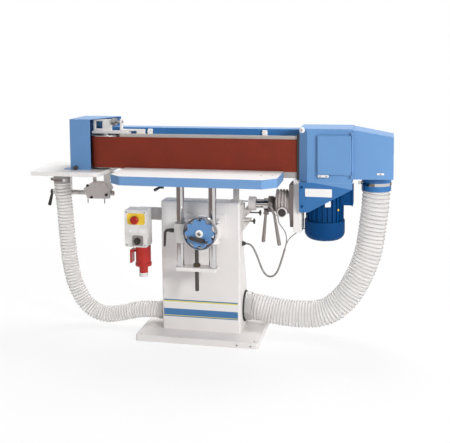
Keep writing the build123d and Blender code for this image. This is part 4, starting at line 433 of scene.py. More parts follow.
def screw_tree():
    """A head on each point, along the point's own aim: a cylinder or prism whose top is sunk as a socket."""
    tree = sized_tree("screw_heads", [("Sides", "Int"), ("Radius", "Float"), ("Height", "Float"),
                                      ("Socket", "Float"), ("Sink", "Float"), ("Finish", "Material")])
    sizes = add(tree, "NodeGroupInput").outputs
    head = add(tree, "GeometryNodeMeshCylinder", None,
               {"Vertices": sizes["Sides"], "Radius": sizes["Radius"], "Depth": sizes["Height"]})
    inner = add(tree, "GeometryNodeExtrudeMesh", {"Offset Scale": 0.0},
                {"Mesh": head, "Selection": head.outputs["Top"]})
    rim = add(tree, "GeometryNodeScaleElements", None,
              {"Geometry": inner, "Selection": inner.outputs["Top"], "Scale": sizes["Socket"]})
    sunk = add(tree, "GeometryNodeExtrudeMesh", None,
               {"Mesh": rim, "Selection": inner.outputs["Top"], "Offset Scale": sizes["Sink"]})
    half = add(tree, "Math", {"operation": "MULTIPLY", 1: 0.5}, {0: sizes["Height"]})
    lift = add(tree, "CombineXYZ", None, {"Z": half})
    seated = add(tree, "GeometryNodeTransform", None, {"Geometry": sunk, "Translation": lift})
    aim_of = add(tree, "GeometryNodeInputNamedAttribute", {"data_type": "FLOAT_VECTOR", "Name": "aim"})
    turned_to = add(tree, "FunctionNodeAlignRotationToVector", {"axis": "Z"},
                    {"Vector": aim_of.outputs["Attribute"]})
    many = add(tree, "GeometryNodeInstanceOnPoints", None,
               {"Points": sizes["Geometry"], "Instance": seated, "Rotation": turned_to})
    real = add(tree, "GeometryNodeRealizeInstances", None, {"Geometry": many})
    done = add(tree, "GeometryNodeSetMaterial", None, {"Geometry": real, "Material": sizes["Finish"]})
    add(tree, "NodeGroupOutput", None, {"Geometry": done})
    return tree


def screws(name, body, spots, radius_mm, height_mm, finish, sides=20, socket=0.55, sink_mm=-2.0):
    """Screw heads of one kind on one body; each spot is a place in millimetres and the way the head looks."""
    mesh = bpy.data.meshes.new(name)
    mesh.from_pydata([Vector(place) / 1000 for place, _ in spots], [], [])
    looks = mesh.attributes.new("aim", "FLOAT_VECTOR", "POINT")
    for entry, (_, look) in zip(looks.data, spots):
        entry.vector = look
    piece = show(name, mesh)
    grow(piece, heads, {"Sides": sides, "Radius": radius_mm / 1000, "Height": height_mm / 1000,
                        "Socket": socket, "Sink": sink_mm / 1000, "Finish": finish})
    smooth(piece)
    return place_on(piece, body)


def turned(name, colour, roughness, line_mm, relief, metallic=1.0):
    """Machined metal: bright, with a faint change of polish and fine tool lines, drawn coarser to show."""
    rub_mm = 30 * line_mm
    material, tree, place = start_material(name)
    cut = add(tree, "TexNoise", {"Scale": 1000 / line_mm, "Detail": 2.0}, {"Vector": place})
    rub = add(tree, "TexNoise", {"Scale": 1000 / rub_mm, "Detail": 3.0}, {"Vector": place})
    gloss = add(tree, "MapRange", {"From Min": 0.3, "From Max": 0.7, "To Min": roughness * 0.7,
                                   "To Max": roughness * 1.5}, {"Value": rub})
    tone = shaded(tree, colour, rub, 0.9, 1.05)
    bump = add(tree, "Bump", {"Strength": relief, "Distance": 0.0002}, {"Height": cut})
    set_shader(tree, {"Base Color": tone, "Roughness": gloss, "Normal": bump}, {"Metallic": metallic})
    return material


def stand_at(piece, place, look):
    """A piece made upright at the origin, turned to look along an axis and put in place, in millimetres."""
    turn_to = Vector(look).to_track_quat("Z", "Y").to_matrix().to_4x4()
    piece.data.transform(Matrix.Translation(Vector(place) / 1000) @ turn_to)


def lathe(name, body, place, look, outline, finish, sides=36, ring=False):
    """A turned piece: an outline of distances along its axis and radii, in millimetres, swept round.
    It is a solid, or a ring where the outline closes on itself."""
    work = bmesh.new()
    turns = [2 * pi * k / sides for k in range(sides)]
    rings = []
    for reach, radius in outline:
        spots = [(radius * cos(t) / 1000, radius * sin(t) / 1000, reach / 1000) for t in turns]
        rings.append([work.verts.new(spot) for spot in spots])
    for low, high in zip(rings, rings[1:]):
        bridge(work, low, high)
    if ring:
        bridge(work, rings[-1], rings[0])
    else:
        work.faces.new(reversed(rings[0]))
        work.faces.new(rings[-1])
    bmesh.ops.recalc_face_normals(work, faces=work.faces)
    piece = show_work(name, work)
    smooth(piece)
    stand_at(piece, place, look)
    return place_on(piece, body, finish)


heads = screw_tree()
# Zinc plate gives the small fasteners a pale, slightly soft shine.
zinc_plate = turned("zinc_plated_steel", "#b9b7b4", 0.3, 1.0, 0.1)
galvanised = zinc_sheet()
dress("dust_manifold", 0.6, galvanised)
outlet_on_back = Vector((0, 84.4, 130))
back_lean = Vector((0, 410, 150)).normalized()
back_rise = back_lean.cross(Vector(right))
flange_seat, flange_top = -0.2, 2.6
flange_screws, flange_screws_r = 6, 82
lathe("outlet_flange", "stand", outlet_on_back + flange_seat * back_lean, back_lean,
      [(0, 74), (0, 89), (1.5, 90), (flange_top, 89.4), (3, 88), (3, 74)], galvanised, 96, True)
flange_spots = []
for number in range(flange_screws):
    turn_at = 2 * pi * (number + 0.5) / flange_screws
    reach = Vector(right) * cos(turn_at) + back_rise * sin(turn_at)
    flange_spots.append((outlet_on_back + reach * flange_screws_r + back_lean * flange_top, back_lean))
screws("outlet_flange_screws", "stand", flange_spots, 4.5, 3, zinc_plate)

# Hose grommets: rings of moulded black rubber, pushed into the two hose holes in the column's sides, where
# they keep the sheet's edge off the hoses. They look soft and matt.


def moulded(name, colour, roughness, grain_mm, relief):
    """Moulded plastic or rubber: one colour through, soft gloss and a fine grain, drawn coarser to show."""
    cloud_mm = 40 * grain_mm
    material, tree, place = start_material(name)
    grain = add(tree, "TexNoise", {"Scale": 1000 / grain_mm, "Detail": 2.0}, {"Vector": place})
    cloud = add(tree, "TexNoise", {"Scale": 1000 / cloud_mm, "Detail": 3.0}, {"Vector": place})
    tone = shaded(tree, colour, cloud, 0.88, 1.1)
    bump = add(tree, "Bump", {"Strength": relief, "Distance": 0.0004}, {"Height": grain})
    gloss = add(tree, "MapRange", {"To Min": roughness - 0.08, "To Max": roughness + 0.08}, {"Value": grain})
    set_shader(tree, {"Base Color": tone, "Roughness": gloss, "Normal": bump})
    return material


black_rubber = moulded("black_rubber", "#2b2827", 0.7, 1.2, 0.25)
dress("hose_grommets", 1.0, black_rubber)

# Tilt bracket, shaft and stop post: a white casting bolted to the column's neck carries the plated shaft
# on which the belt unit tilts, and the post takes the platen when the belt stands upright.
# Two star-headed screws set the tilt's stops, and a thin rod ties the bracket to the column.


def sand_cast(name, colour, grain_mm=3.0, metallic=0.0):
    """Painted sand casting: matt, a grainy skin whose pits are painted darker as painted shade, drawn coarser
    to show.
    """
    material, tree, place = start_material(name)
    sand = add(tree, "TexNoise", {"Scale": 1000 / grain_mm, "Detail": 4.0, "Roughness": 0.65},
               {"Vector": place})
    # The grain that raises the bump also darkens its pits: painted shade.
    tone = shaded(tree, colour, sand, 0.75, 1.05, 0.65)
    bump = add(tree, "Bump", {"Strength": 0.35, "Distance": 0.0008}, {"Height": sand})
    set_shader(tree, {"Base Color": tone, "Normal": bump}, {"Roughness": 0.5, "Metallic": metallic})
    return material


def lobe_tree():
    """A round knob whose rim rises and falls in lobes."""
    tree = sized_tree("lobed_knob", [("Lobes", "Int"), ("Radius", "Float"), ("Height", "Float"),
                                     ("Ripple", "Float"), ("Finish", "Material")])
    sides_each = 12.0
    sizes = add(tree, "NodeGroupInput").outputs
    sides = add(tree, "Math", {"operation": "MULTIPLY", 1: sides_each}, {0: sizes["Lobes"]})
    blank = add(tree, "GeometryNodeMeshCylinder", None,
                {"Vertices": sides, "Radius": sizes["Radius"], "Depth": sizes["Height"]})
    spot = add(tree, "GeometryNodeInputPosition")
    part = add(tree, "SeparateXYZ", None, {0: spot})
    turn_at = add(tree, "Math", {"operation": "ARCTAN2"}, {0: part.outputs["Y"], 1: part.outputs["X"]})
    wave = add(tree, "Math", {"operation": "MULTIPLY"}, {0: turn_at, 1: sizes["Lobes"]})
    rise = add(tree, "Math", {"operation": "COSINE"}, {0: wave})
    reach = add(tree, "Math", {"operation": "MULTIPLY_ADD", 2: 1.0}, {0: rise, 1: sizes["Ripple"]})
    wide = add(tree, "CombineXYZ", {"Z": 1.0}, {"X": reach, "Y": reach})
    moved = add(tree, "VectorMath", {"operation": "MULTIPLY"}, {0: spot, 1: wide})
    shaped = add(tree, "GeometryNodeSetPosition", None, {"Geometry": blank, "Position": moved})
    real = add(tree, "GeometryNodeRealizeInstances", None, {"Geometry": shaped})
    done = add(tree, "GeometryNodeSetMaterial", None, {"Geometry": real, "Material": sizes["Finish"]})
    add(tree, "NodeGroupOutput", None, {"Geometry": done})
    return tree


def lobed_knob(name, body, place, look, radius_mm, height_mm, lobes, ripple, finish, edge_mm=1.0):
    """A lobed knob whose middle is at a place in millimetres."""
    piece = show(name, bpy.data.meshes.new(name))
    grow(piece, lobed, {"Lobes": lobes, "Radius": radius_mm / 1000, "Height": height_mm / 1000,
                        "Ripple": ripple, "Finish": finish})
    round_edges(piece, edge_mm, 3)
    smooth(piece)
    stand_at(piece, place, look)
    return place_on(piece, body)


lobed = lobe_tree()
# The casting is pale and matt, hard chrome mirrors the room, and blackened steel is dark and half dull.
light_cast = sand_cast("light_painted_casting", "#d8d2cf")
chrome = turned("hard_chrome", "#cfcdcd", 0.10, 1.5, 0.03)
dark_steel = turned("blackened_steel", "#57534f", 0.38, 1.0, 0.12, 0.85)
dress("pivot_bracket", 1.5, light_cast)
dress("stop_post", 1.0, light_cast)
dress("pivot_shaft", 0.8, chrome)
screwed_in, knob_back = 10, 2
for number, (x, shank, y, z) in enumerate(((243, 42, -95, 606), (223, 34, -100, 566))):
    lathe(f"stop_screw_{number}", "stand", (x - screwed_in, y, z), right,
          [(0, 3.2), (shank, 3.2), (shank + 1, 6), (shank + 6, 6)], dark_steel, 20)
    lobed_knob(f"stop_knob_{number}", "stand", (x + shank - knob_back, y, z), right,
               radius_mm=10, height_mm=8, lobes=4, ripple=0.3, finish=dark_steel)
lathe("bracket_rod", "stand", (190, -60, 652), right, [(0, 2.5), (38, 2.5)], dark_steel, 16)

# Table lift: a white bracket, bolted to the column's front, guides two chromed columns in steel bushes.
# A plate ties them below, and a lead screw turned through a gear pair lifts them by a bronze nut.
# Turned steel is grey with a soft shine, and aged bronze brown and duller.
steel = turned("turned_steel", "#a3a0a0", 0.3, 1.0, 0.12)
bronze = turned("aged_bronze", "#6f6152", 0.4, 1.0, 0.1)
dress("guide_bracket", 1.5, white_coat)
dress("guide_bushes", 0.5, steel)
dress("lift_columns", 1.0, chrome)
dress("cross_plate", 1.5, white_coat)
dress("lift_nut", 0.6, bronze)
dress("lead_screw", 0.6, dark_steel)

# Handwheel: a chromed rim on spokes, dished so that its band stands round the lobed blue disc in front,
# which carries a white cap and a folding black crank handle.
# Blue powder coat is an even mid blue with soft highlights, and black nylon a warm black with a faint grain.
blue_coat = powder_coat("blue_powder_coat", "#628fc1", "#93b7dc", 0.38)
black_plastic = moulded("black_nylon", "#3a3433", 0.42, 1.0, 0.18)
dress("handwheel", 1.0, chrome)
dress("handwheel_disc", 1.2, blue_coat, 3)
dress("crank_handle", 0.8, black_plastic)
wheel_low, wheel_high = (Vector(corner) * 1000 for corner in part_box("handwheel"))
rim_r = (wheel_high.x - wheel_low.x) / 2
wheel_mid = (wheel_low + wheel_high) / 2
band_back = -300
cap_x, cap_y, cap_z = 48, -335.5, 552
cap_face = 4
lathe("wheel_band", "wheel", (wheel_mid.x, band_back, wheel_mid.z), front,
      [(0, rim_r - 6.5), (0, rim_r - 1.5), (4, rim_r), (28, rim_r), (31.5, rim_r - 2), (32, rim_r - 3.5),
       (30, rim_r - 5.5), (27, rim_r - 6.5)], chrome, 96, True)
white_nylon = moulded("white_nylon", "#eceae8", 0.35, 1.0, 0.1)
lathe("wheel_cap", "wheel", (cap_x, cap_y, cap_z), front,
      [(0, 17.5), (3.2, 17.5), (4.6, 16), (5.0, 14), (4.4, 8.4)], white_nylon)
lathe("wheel_cap_screw", "wheel", (cap_x, cap_y - cap_face, cap_z), front,
      [(0, 8), (2.2, 8), (3.0, 7), (3.2, 3)], steel)

# Clamp levers: tapered black nylon grips at the lift, under the table and on the side table's bar,
# and cast zinc grips, with a grey skin, on the tilt shaft and on the tilt hub.
# The lift's grip is bent, so that it hangs beside the column.


def line_length(line):
    """The length along a line of points."""
    return sum((b - a).length for a, b in zip(line, line[1:]))


def tube(name, line, sides, radius_at, wall=0.0, crest=None):
    """A tube round a line, hollow if it has a wall; its radius follows the distance along and the turn round.
    Given the radii of root and crest, each point keeps how near it comes to the crest, for the material."""
    work = bmesh.new()
    near_crest = work.verts.layers.float.new("rib")
    across = Vector((0, 1, 0))
    along = 0.0
    total = line_length(line)
    outer, inner = [], []
    for at, spot in enumerate(line):
        ahead = line[min(at + 1, len(line) - 1)] - line[max(at - 1, 0)]
        ahead.normalize()
        across = (across - ahead * across.dot(ahead)).normalized()
        above = ahead.cross(across)
        if at:
            along += (spot - line[at - 1]).length
        arrows = [across * cos(2 * pi * k / sides) + above * sin(2 * pi * k / sides) for k in range(sides)]
        radii = [radius_at(along, total, k / sides) for k in range(sides)]
        outer.append([work.verts.new(spot + arrow * r) for arrow, r in zip(arrows, radii)])
        if wall:
            inner.append([work.verts.new(spot + arrow * (r - wall)) for arrow, r in zip(arrows, radii)])
        if crest:
            low_r, high_r = crest
            for ring in (outer, inner):
                for corner, r in zip(ring[-1] if ring else [], radii):
                    corner[near_crest] = (r - low_r) / (high_r - low_r)
    for rings, flip in ((outer, False), (inner, True)):
        for low, high in zip(rings, rings[1:]):
            bridge(work, low, high, flip)
    for end, flip in ((0, True), (-1, False)):
        if wall:
            bridge(work, outer[end], inner[end], flip)
        else:
            work.faces.new(reversed(outer[end]) if flip else outer[end])
    bmesh.ops.recalc_face_normals(work, faces=work.faces)
    piece = show_work(name, work)
    piece.data.shade_smooth()
    return piece


for lever in ("table_lever", "aux_lever"):
    dress(lever, 0.6, black_plastic)
bend = [(-94, 541), (-112, 541.5), (-124, 541), (-131, 538), (-135, 532), (-136, 524), (-137.5, 498),
        (-139, 466)]
grip_y, grip_z = -245, 541
grip_root, grip_tip = 0.0078, 0.0052
grip = tube("height_grip", [Vector((x, grip_y, z)) / 1000 for x, z in bend], 20,
            lambda along, total, turn: grip_root + (grip_tip - grip_root) * along / total)
stand_for(grip, "height_lever", black_plastic)
lathe("height_grip_hub", body_of["height_lever"], (-95, grip_y, grip_z), left,
      [(0, 9), (1, 10), (16, 10), (18, 8.5)], black_plastic)
lathe("height_grip_pin", body_of["height_lever"], (-85.4, grip_y, grip_z), left,
      [(0, 4), (11, 4)], dark_steel, 16)
# The die casting is a warm mid grey with a fine skin.
zinc_cast = sand_cast("zinc_die_casting", "#8f8784", 2.0, 0.3)
for lever in ("shaft_lever", "hub_lever"):
    dress(lever, 0.8, zinc_cast, 3)

# Table: a ribbed iron casting on the two lift columns, with a pale ground top and a blue painted edge.
# Two plain holes near its right end take a fence.


def table_finish():
    """Blue paint on the sides and below, and a pale ground top, told apart by the way the face looks.
    Both drift a little in tone; the grinding marks are drawn coarser, to show."""
    level = 0.8
    drift_mm = 142.86
    grind_mm = 1.6667
    material, tree, place = start_material("table_paint")
    facing = add(tree, "SeparateXYZ", None, {0: add(tree, "NewGeometry").outputs["True Normal"]})
    on_top = add(tree, "Math", {"operation": "GREATER_THAN", 1: level}, {0: facing.outputs["Z"]})
    drift = add(tree, "TexNoise", {"Scale": 1000 / drift_mm, "Detail": 4.0}, {"Vector": place})
    top = add(tree, "Mix", {"data_type": "RGBA", "A": linear("#e6e6e5"), "B": linear("#f4f4f3")},
              {"Factor": drift})
    side = add(tree, "Mix", {"data_type": "RGBA", "A": linear("#5f8cbf"), "B": linear("#779fcd")},
               {"Factor": drift})
    both = add(tree, "Mix", {"data_type": "RGBA"},
               {"Factor": on_top, "A": side.outputs["Result"], "B": top.outputs["Result"]})
    marks = add(tree, "TexNoise", {"Scale": 1000 / grind_mm, "Detail": 2.0}, {"Vector": place})
    bump = add(tree, "Bump", {"Strength": 0.08, "Distance": 0.0003}, {"Height": marks})
    set_shader(tree, {"Base Color": both.outputs["Result"], "Normal": bump}, {"Roughness": 0.45})
    return material


fence_holes = [Vector((x, -0.241)) for x in (0.311, 0.361)]
hole_reach = 0.0055
wall_tilt = 0.5
table = dress("table", 1.5, table_finish())
# The fence holes' walls take blackened steel: bare metal, darkened as painted shade inside the holes.
table.data.materials.append(dark_steel)
for face in table.data.polygons:
    inside = any((face.center.xy - hole).length < hole_reach for hole in fence_holes)
    if inside and abs(face.normal.z) < wall_tilt:
        face.material_index = 1

# Tilt hub and arm: a grey casting that turns on the shaft, with a ribbed drum, flanges painted dark as painted
# shade, and a black cap in a white ring on its front boss. It is bolted to the white arm of the motor and the
# belt.


def hub_finish():
    """A casting painted light grey on its drum, between two flanges painted dark, as painted shade."""
    drum_from, drum_to = 0.360, 0.416
    material = sand_cast("casting_with_shaded_flanges", "#c2bab7")
    tree = material.node_tree
    shader = tree.nodes["Principled BSDF"]
    tone = shader.inputs["Base Color"].links[0].from_socket
    part = add(tree, "SeparateXYZ", None, {0: add(tree, "TexCoord").outputs["Object"]})
    past = add(tree, "Math", {"operation": "GREATER_THAN", 1: drum_from}, {0: part.outputs["X"]})
    short = add(tree, "Math", {"operation": "LESS_THAN", 1: drum_to}, {0: part.outputs["X"]})
    on_drum = add(tree, "Math", {"operation": "MULTIPLY"}, {0: past, 1: short})
    # Outside the drum the colour is dark: painted shade on the flanges.
    both = add(tree, "Mix", {"data_type": "RGBA", "A": linear("#6d6562")}, {"Factor": on_drum, "B": tone})
    set_shader(tree, {"Base Color": both.outputs["Result"]})
    return material


dress("tilt_hub", 0.8, hub_finish())
dress("hub_cap", 1.0, black_plastic)
cap_low, cap_high = (Vector(corner) * 1000 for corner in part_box("hub_cap"))
cap_mid = (cap_low + cap_high) / 2
cap_r = (cap_high.x - cap_low.x) / 2
lathe("cap_ring", "belt_unit", (cap_mid.x, cap_high.y, cap_mid.z), front,
      [(0, cap_r + 0.4), (0, cap_r + 5.5), (5, cap_r + 5.5), (6.4, cap_r + 4), (6.4, cap_r + 1.2),
       (5, cap_r + 0.4)], white_coat, ring=True)
dress("tilt_arm", 2.0, white_coat)

# Belt frame: a white box beam with the motor plate, and the steel platen with its graphite cloth, which is
# glued on behind the front run of the belt. Plate and platen are coated a warm mid grey; the cloth is dark.
platen_grey = powder_coat("grey_powder_coat", "#a8a29e", "#c4bfbb", 0.45)
dress("motor_plate", 1.0, platen_grey)
dress("main_beam", 2.0, white_coat)
dress("platen", 1.0, platen_grey)
dress("graphite_pad", 0, moulded("graphite_cloth", "#3b3b3d", 0.6, 1.6, 0.5))

# Sanding belt: an endless loop of abrasive cloth, red-brown grain outside and bare cloth inside,
# joined by a slanted butt splice.


def abrasive_cloth():
    """Aluminium oxide grain in resin: red-brown, with dark and pale grains; drawn at 1.4 mm to show."""
    grain_mm = 1.4
    streak_mm = 111.11
    splice_mm = 1.6
    splice_x, splice_z, splice_lean = 0.12, 0.878, 0.7
    material, tree, place = start_material("aluminium_oxide_cloth")
    grain = add(tree, "TexVoronoi", {"Scale": 1000 / grain_mm}, {"Vector": place})
    streak = add(tree, "TexNoise", {"Scale": 1000 / streak_mm, "Detail": 4.0}, {"Vector": place})
    speck = add(tree, "Mix", {"data_type": "RGBA", "A": linear("#6a1f0c"), "B": linear("#842a10")},
                {"Factor": grain.outputs["Color"]})
    shade = add(tree, "MapRange", {"From Min": 0.3, "From Max": 0.7, "To Min": 0.88, "To Max": 1.08},
                {"Value": streak})
    tone = add(tree, "VectorMath", {"operation": "SCALE"}, {0: speck.outputs["Result"], "Scale": shade})
    part = add(tree, "SeparateXYZ", None, {0: place})
    foot_x = splice_x - splice_lean * splice_z
    lean = add(tree, "Math", {"operation": "MULTIPLY_ADD", 1: splice_lean, 2: foot_x}, {0: part.outputs["Z"]})
    apart = add(tree, "Math", {"operation": "SUBTRACT"}, {0: part.outputs["X"], 1: lean})
    near = add(tree, "Math", {"operation": "ABSOLUTE"}, {0: apart})
    line = add(tree, "Math", {"operation": "LESS_THAN", 1: splice_mm / 2000}, {0: near})
    dark = add(tree, "Mix", {"data_type": "RGBA", "B": linear("#571d11")}, {"Factor": line, "A": tone})
    bump = add(tree, "Bump", {"Strength": 0.5, "Distance": 0.0005}, {"Height": grain.outputs["Distance"]})
    set_shader(tree, {"Base Color": dark.outputs["Result"], "Normal": bump}, {"Roughness": 0.85})
    return material


def backing_cloth():
    """Heavy cotton twill sized with resin: buff, with the diagonal of the weave drawn at 4 mm to show."""
    twill_mm = 4.0
    material, tree, place = start_material("cotton_backing")
    twill = add(tree, "TexWave", {"Scale": 200 * pi / twill_mm, "bands_direction": "DIAGONAL",
                                  "Distortion": 0.6}, {"Vector": place})
    tint = add(tree, "Mix", {"data_type": "RGBA", "A": linear("#a1876a"), "B": linear("#b89d7d")},
               {"Factor": twill.outputs["Fac"]})
    bump = add(tree, "Bump", {"Strength": 0.3, "Distance": 0.0003}, {"Height": twill.outputs["Fac"]})
    set_shader(tree, {"Base Color": tint.outputs["Result"], "Normal": bump}, {"Roughness": 0.9})
    return material


belt = dress("sanding_belt", 0, abrasive_cloth())
belt.data.materials.append(backing_cloth())
idler_mid, drive_mid = (sum(map(Vector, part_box(drum)), Vector()) / 2 for drum in ("idler_drum", "drive_drum"))
for face in belt.data.polygons:
    mid = Vector((min(max(face.center.x, idler_mid.x), drive_mid.x), idler_mid.y, face.center.z))
    if face.normal.dot(face.center - mid) < 0:
        face.material_index = 1

# Drums and tension fork: crowned aluminium drums, and the white casting that carries the idler drum
# and slides in the beam as its knurled screw turns. Turned aluminium is pale with a soft shine.
aluminium = turned("turned_aluminium", "#c3c2c1", 0.3, 1.2, 0.12)
dress("drive_drum", 0.8, aluminium)
dress("idler_drum", 0.8, aluminium)
white_cast = sand_cast("white_painted_casting", "#f3f0ee", 4.0)
dress("tension_fork", 1.5, white_cast)
dress("tension_screw", 0.6, steel)

# Motor: a finned aluminium body with a terminal box and a sheet fan cover below, both in deep blue enamel,
# which is dull and nearly even, and painted darker still as painted shade from the guard above it.
# A blank plate, a yellow plug and a plated screw are fixed to its front.


def front_of(piece, x, z):
    """The place on a piece's front at an x and z in millimetres, seen along +Y, and the way it looks."""
    clear_of_all = -2.0
    surface = BVHTree.FromPolygons([spot.co for spot in piece.data.vertices],
                                   [list(face.vertices) for face in piece.data.polygons])
    hit = surface.ray_cast(Vector((x / 1000, clear_of_all, z / 1000)), Vector(back))
    return hit[0] * 1000, hit[1]


def on_fins(piece, x, z):
    """The place on the crests of the motor's fins at an x and z in millimetres, and the way out there."""
    fins_apart = 12
    axis = drive_mid * 1000
    tries = range(-fins_apart, fins_apart + 1, 2)
    crest = max((front_of(piece, x + step, z)[0] - axis).xy.length for step in tries)
    out = Vector((x - axis.x, -((crest**2 - (x - axis.x) ** 2) ** 0.5), 0)) / crest
    return Vector((axis.x, axis.y, z)) + out * crest, out


# The enamel's colour is darker than the paint's own, as painted shade under the guard; the guard's bolts take
# it too.
motor_blue_with_shade = powder_coat("deep_blue_enamel_with_shade", "#003f74", "#0e4f88", 0.5, 0.12)
white_label = powder_coat("white_enamelled_sheet", "#eceae8", "#f5f4f3", 0.4)
yellow_plastic = moulded("yellow_plastic", "#efc938", 0.4, 1.0, 0.1)
motor = dress("motor_body", 0.8, motor_blue_with_shade)
dress("fan_cover", 1.2, motor_blue_with_shade, 3)
spot, look = on_fins(motor, 597, 661)
sheet_plate("motor_plate_blank", "belt_unit", spot, look, (27, 27, 1.6), 2.5, white_label)
spot, look = on_fins(motor, 642, 631)
lathe("motor_plug", "belt_unit", spot, look,
      [(-2, 5), (2.5, 5), (3.4, 4), (3.6, 1.5)], yellow_plastic)
spot, look = front_of(motor, 498, 589)
screws("motor_screw", "belt_unit", [(spot, look)], 6, 4, zinc_plate)

# Drive hood: folded sheet over the drive drum, with a hinged door in front, a duct at its right and a guard
# below it that covers the motor's flange.
# A black strip in its mouth stands as a painted shadow; the door's chrome latch is drawn in white enamel as a
# painted reflection, the duct has a catch, the guard a blank plate.
hood = dress("drive_hood", 1.5, blue_coat)
dress("hood_door", 1.5, blue_coat)
duct = dress("dust_duct", 1.5, blue_coat)
guard = dress("lower_guard", 0.8, blue_coat)
# The duct's collar, the guard's underside and the rear cover's lip have the same coat in a stronger blue, as
# painted shade where they lie low under the duct, face down, or stand back under the beam.
shade_blue = powder_coat("shade_blue_powder_coat", "#296aa6", "#5590c6", 0.38)
looks_down = -0.04
for sheet, shade_below in ((duct, 0.758), (guard, 0.700)):
    sheet.data.materials.append(shade_blue)
    for face in sheet.data.polygons:
        if face.center.z < shade_below or (sheet is guard and face.normal.z < looks_down):
            face.material_index = 1
dress("hose_clamps", 0.5, chrome)
spot, look = front_of(hood, 486, 999)
lathe("hood_knob", "belt_unit", spot, look,
      [(-1, 5), (4, 5), (5, 13), (12, 13.5), (15, 11.5), (15.6, 6), (14.6, 5.4), (14.6, 1)], white_label)
lathe("hood_knob_pin", "belt_unit", spot, look,
      [(10, 3.6), (15.2, 3.6), (15.8, 2.6), (15.8, 1)], zinc_plate, 20)
door_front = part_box("hood_door")[0][1] * 1000
latch_z, latch_thick, latch_sunk = 795, 5, 1
# The latch is chrome; it is drawn in white enamel, a painted reflection of a bright room.
sheet_plate("door_latch", "door", (579, door_front + latch_sunk, latch_z), front,
            (49, 11, latch_thick), 4.5, white_label)
latch_spots = [((x, door_front + latch_sunk - latch_thick, latch_z), front) for x in (565, 593)]
screws("door_latch_screws", "door", latch_spots, 3.4, 2.0, zinc_plate)
catch_face = 3.6
spot, look = front_of(duct, 830, 806)
sheet_plate("duct_catch", "belt_unit", spot, look, (32, 9, 4), 3.5, white_label)
screws("duct_catch_screw", "belt_unit", [(spot + look * catch_face, look)], 3.6, 1.8, dark_steel)
spot, look = front_of(guard, 556, 715)
sheet_plate("guard_plate_blank", "belt_unit", spot, look, (121, 38, 1.2), 3, white_label)
guard_spots = [front_of(guard, x, z) for x, z in ((480, 739), (480, 649))]
screws("guard_bolts", "belt_unit", guard_spots, 6, 4, motor_blue_with_shade)
# A black strip at the hood's mouth, a painted shadow of the dark gap there.
sheet_plate("mouth_shadow_strip", "belt_unit", (461.5, -108.6, 873), front, (13, 210, 3), 1, black_rubber)
screw_sunk = 0.2
hood_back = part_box("drive_hood")[1][1] * 1000
hood_seam = [((x, hood_back - screw_sunk, z), back) for x in (500, 590, 680) for z in (785, 985)]
screws("hood_back_screws", "belt_unit", hood_seam, 5, 3, zinc_plate)

# Rear cover: a long folded steel sheet, coated blue, over the back run of the belt.
# Two white knobs on studs hold its front lip, and two rows of plated screws its back.
stud = [(-2, 4), (4, 4), (4.2, 2)]
lip_z = 0.960
looks_ahead = -0.9
cover_knob_off = Vector((0, -9, -1))
cover = dress("rear_cover", 1.2, blue_coat)
# Its front lip takes the stronger blue as painted shade.
cover.data.materials.append(shade_blue)
for face in cover.data.polygons:
    if face.normal.y < looks_ahead and face.center.z > lip_z:
        face.material_index = 1
for number, x in enumerate((-275, 291)):
    spot, look = front_of(cover, x, 972)
    lobed_knob(f"cover_knob_{number}", "belt_unit", spot + cover_knob_off, front,
               radius_mm=13, height_mm=11, lobes=6, ripple=0.1, finish=white_label, edge_mm=3.0)
    lathe(f"cover_stud_{number}", "belt_unit", spot, front, stud, zinc_plate, 16)
cover_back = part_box("rear_cover")[1][1] * 1000
cover_seam = [((x, cover_back - screw_sunk, z), back) for x in range(-420, 441, 172) for z in (805, 972)]
screws("cover_back_screws", "belt_unit", cover_seam, 5, 3, zinc_plate)

# Side table at the idler end: a painted casting with its own guard, carried on a chromed bar by a block.
# The black port under it leads its dust to the small hose.
# The block's casting is a warm pale grey, and black oxide gives its bolts a deep, half dull black.
grey_cast = sand_cast("grey_sand_casting", "#d2cac7")
black_oxide = turned("black_oxide_steel", "#2d2a29", 0.42, 1.0, 0.12, 0.4)
port_rim = 0.7517
dress("aux_table", 2.0, white_cast)
idler_cover = dress("idler_guard", 1.2, blue_coat)
port = dress("aux_port", 1.0, black_plastic)
port.data.materials.append(white_label)
for face in port.data.polygons:
    if face.center.z < port_rim:
        face.material_index = 1
dress("aux_bar", 0.8, chrome)
block = dress("aux_block", 2.0, grey_cast)
dress("aux_strap", 1.0, light_cast)
guard_knob_off = Vector((0, -8, 0))
spot, look = front_of(idler_cover, -619, 800)
lobed_knob("guard_knob", "side_table", spot + guard_knob_off, front,
           radius_mm=11, height_mm=11, lobes=5, ripple=0.18, finish=black_plastic, edge_mm=2.0)
lathe("guard_stud", "side_table", spot, front, stud, zinc_plate, 16)
for number, (x, z) in enumerate(((-597, 699), (-577, 640), (-500, 655))):
    screws(f"block_bolt_{number}", "belt_unit", [front_of(block, x, z)], 6.5, 6, black_oxide)
block_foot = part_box("aux_block")[0][2] * 1000
jack_y, jack_sunk = -12, 4
for number, x in enumerate((-604, -516)):
    lathe(f"jack_screw_{number}", "belt_unit", (x, jack_y, block_foot + jack_sunk), down,
          [(0, 2.2), (30, 2.2), (31, 1.4)], dark_steel, 16)

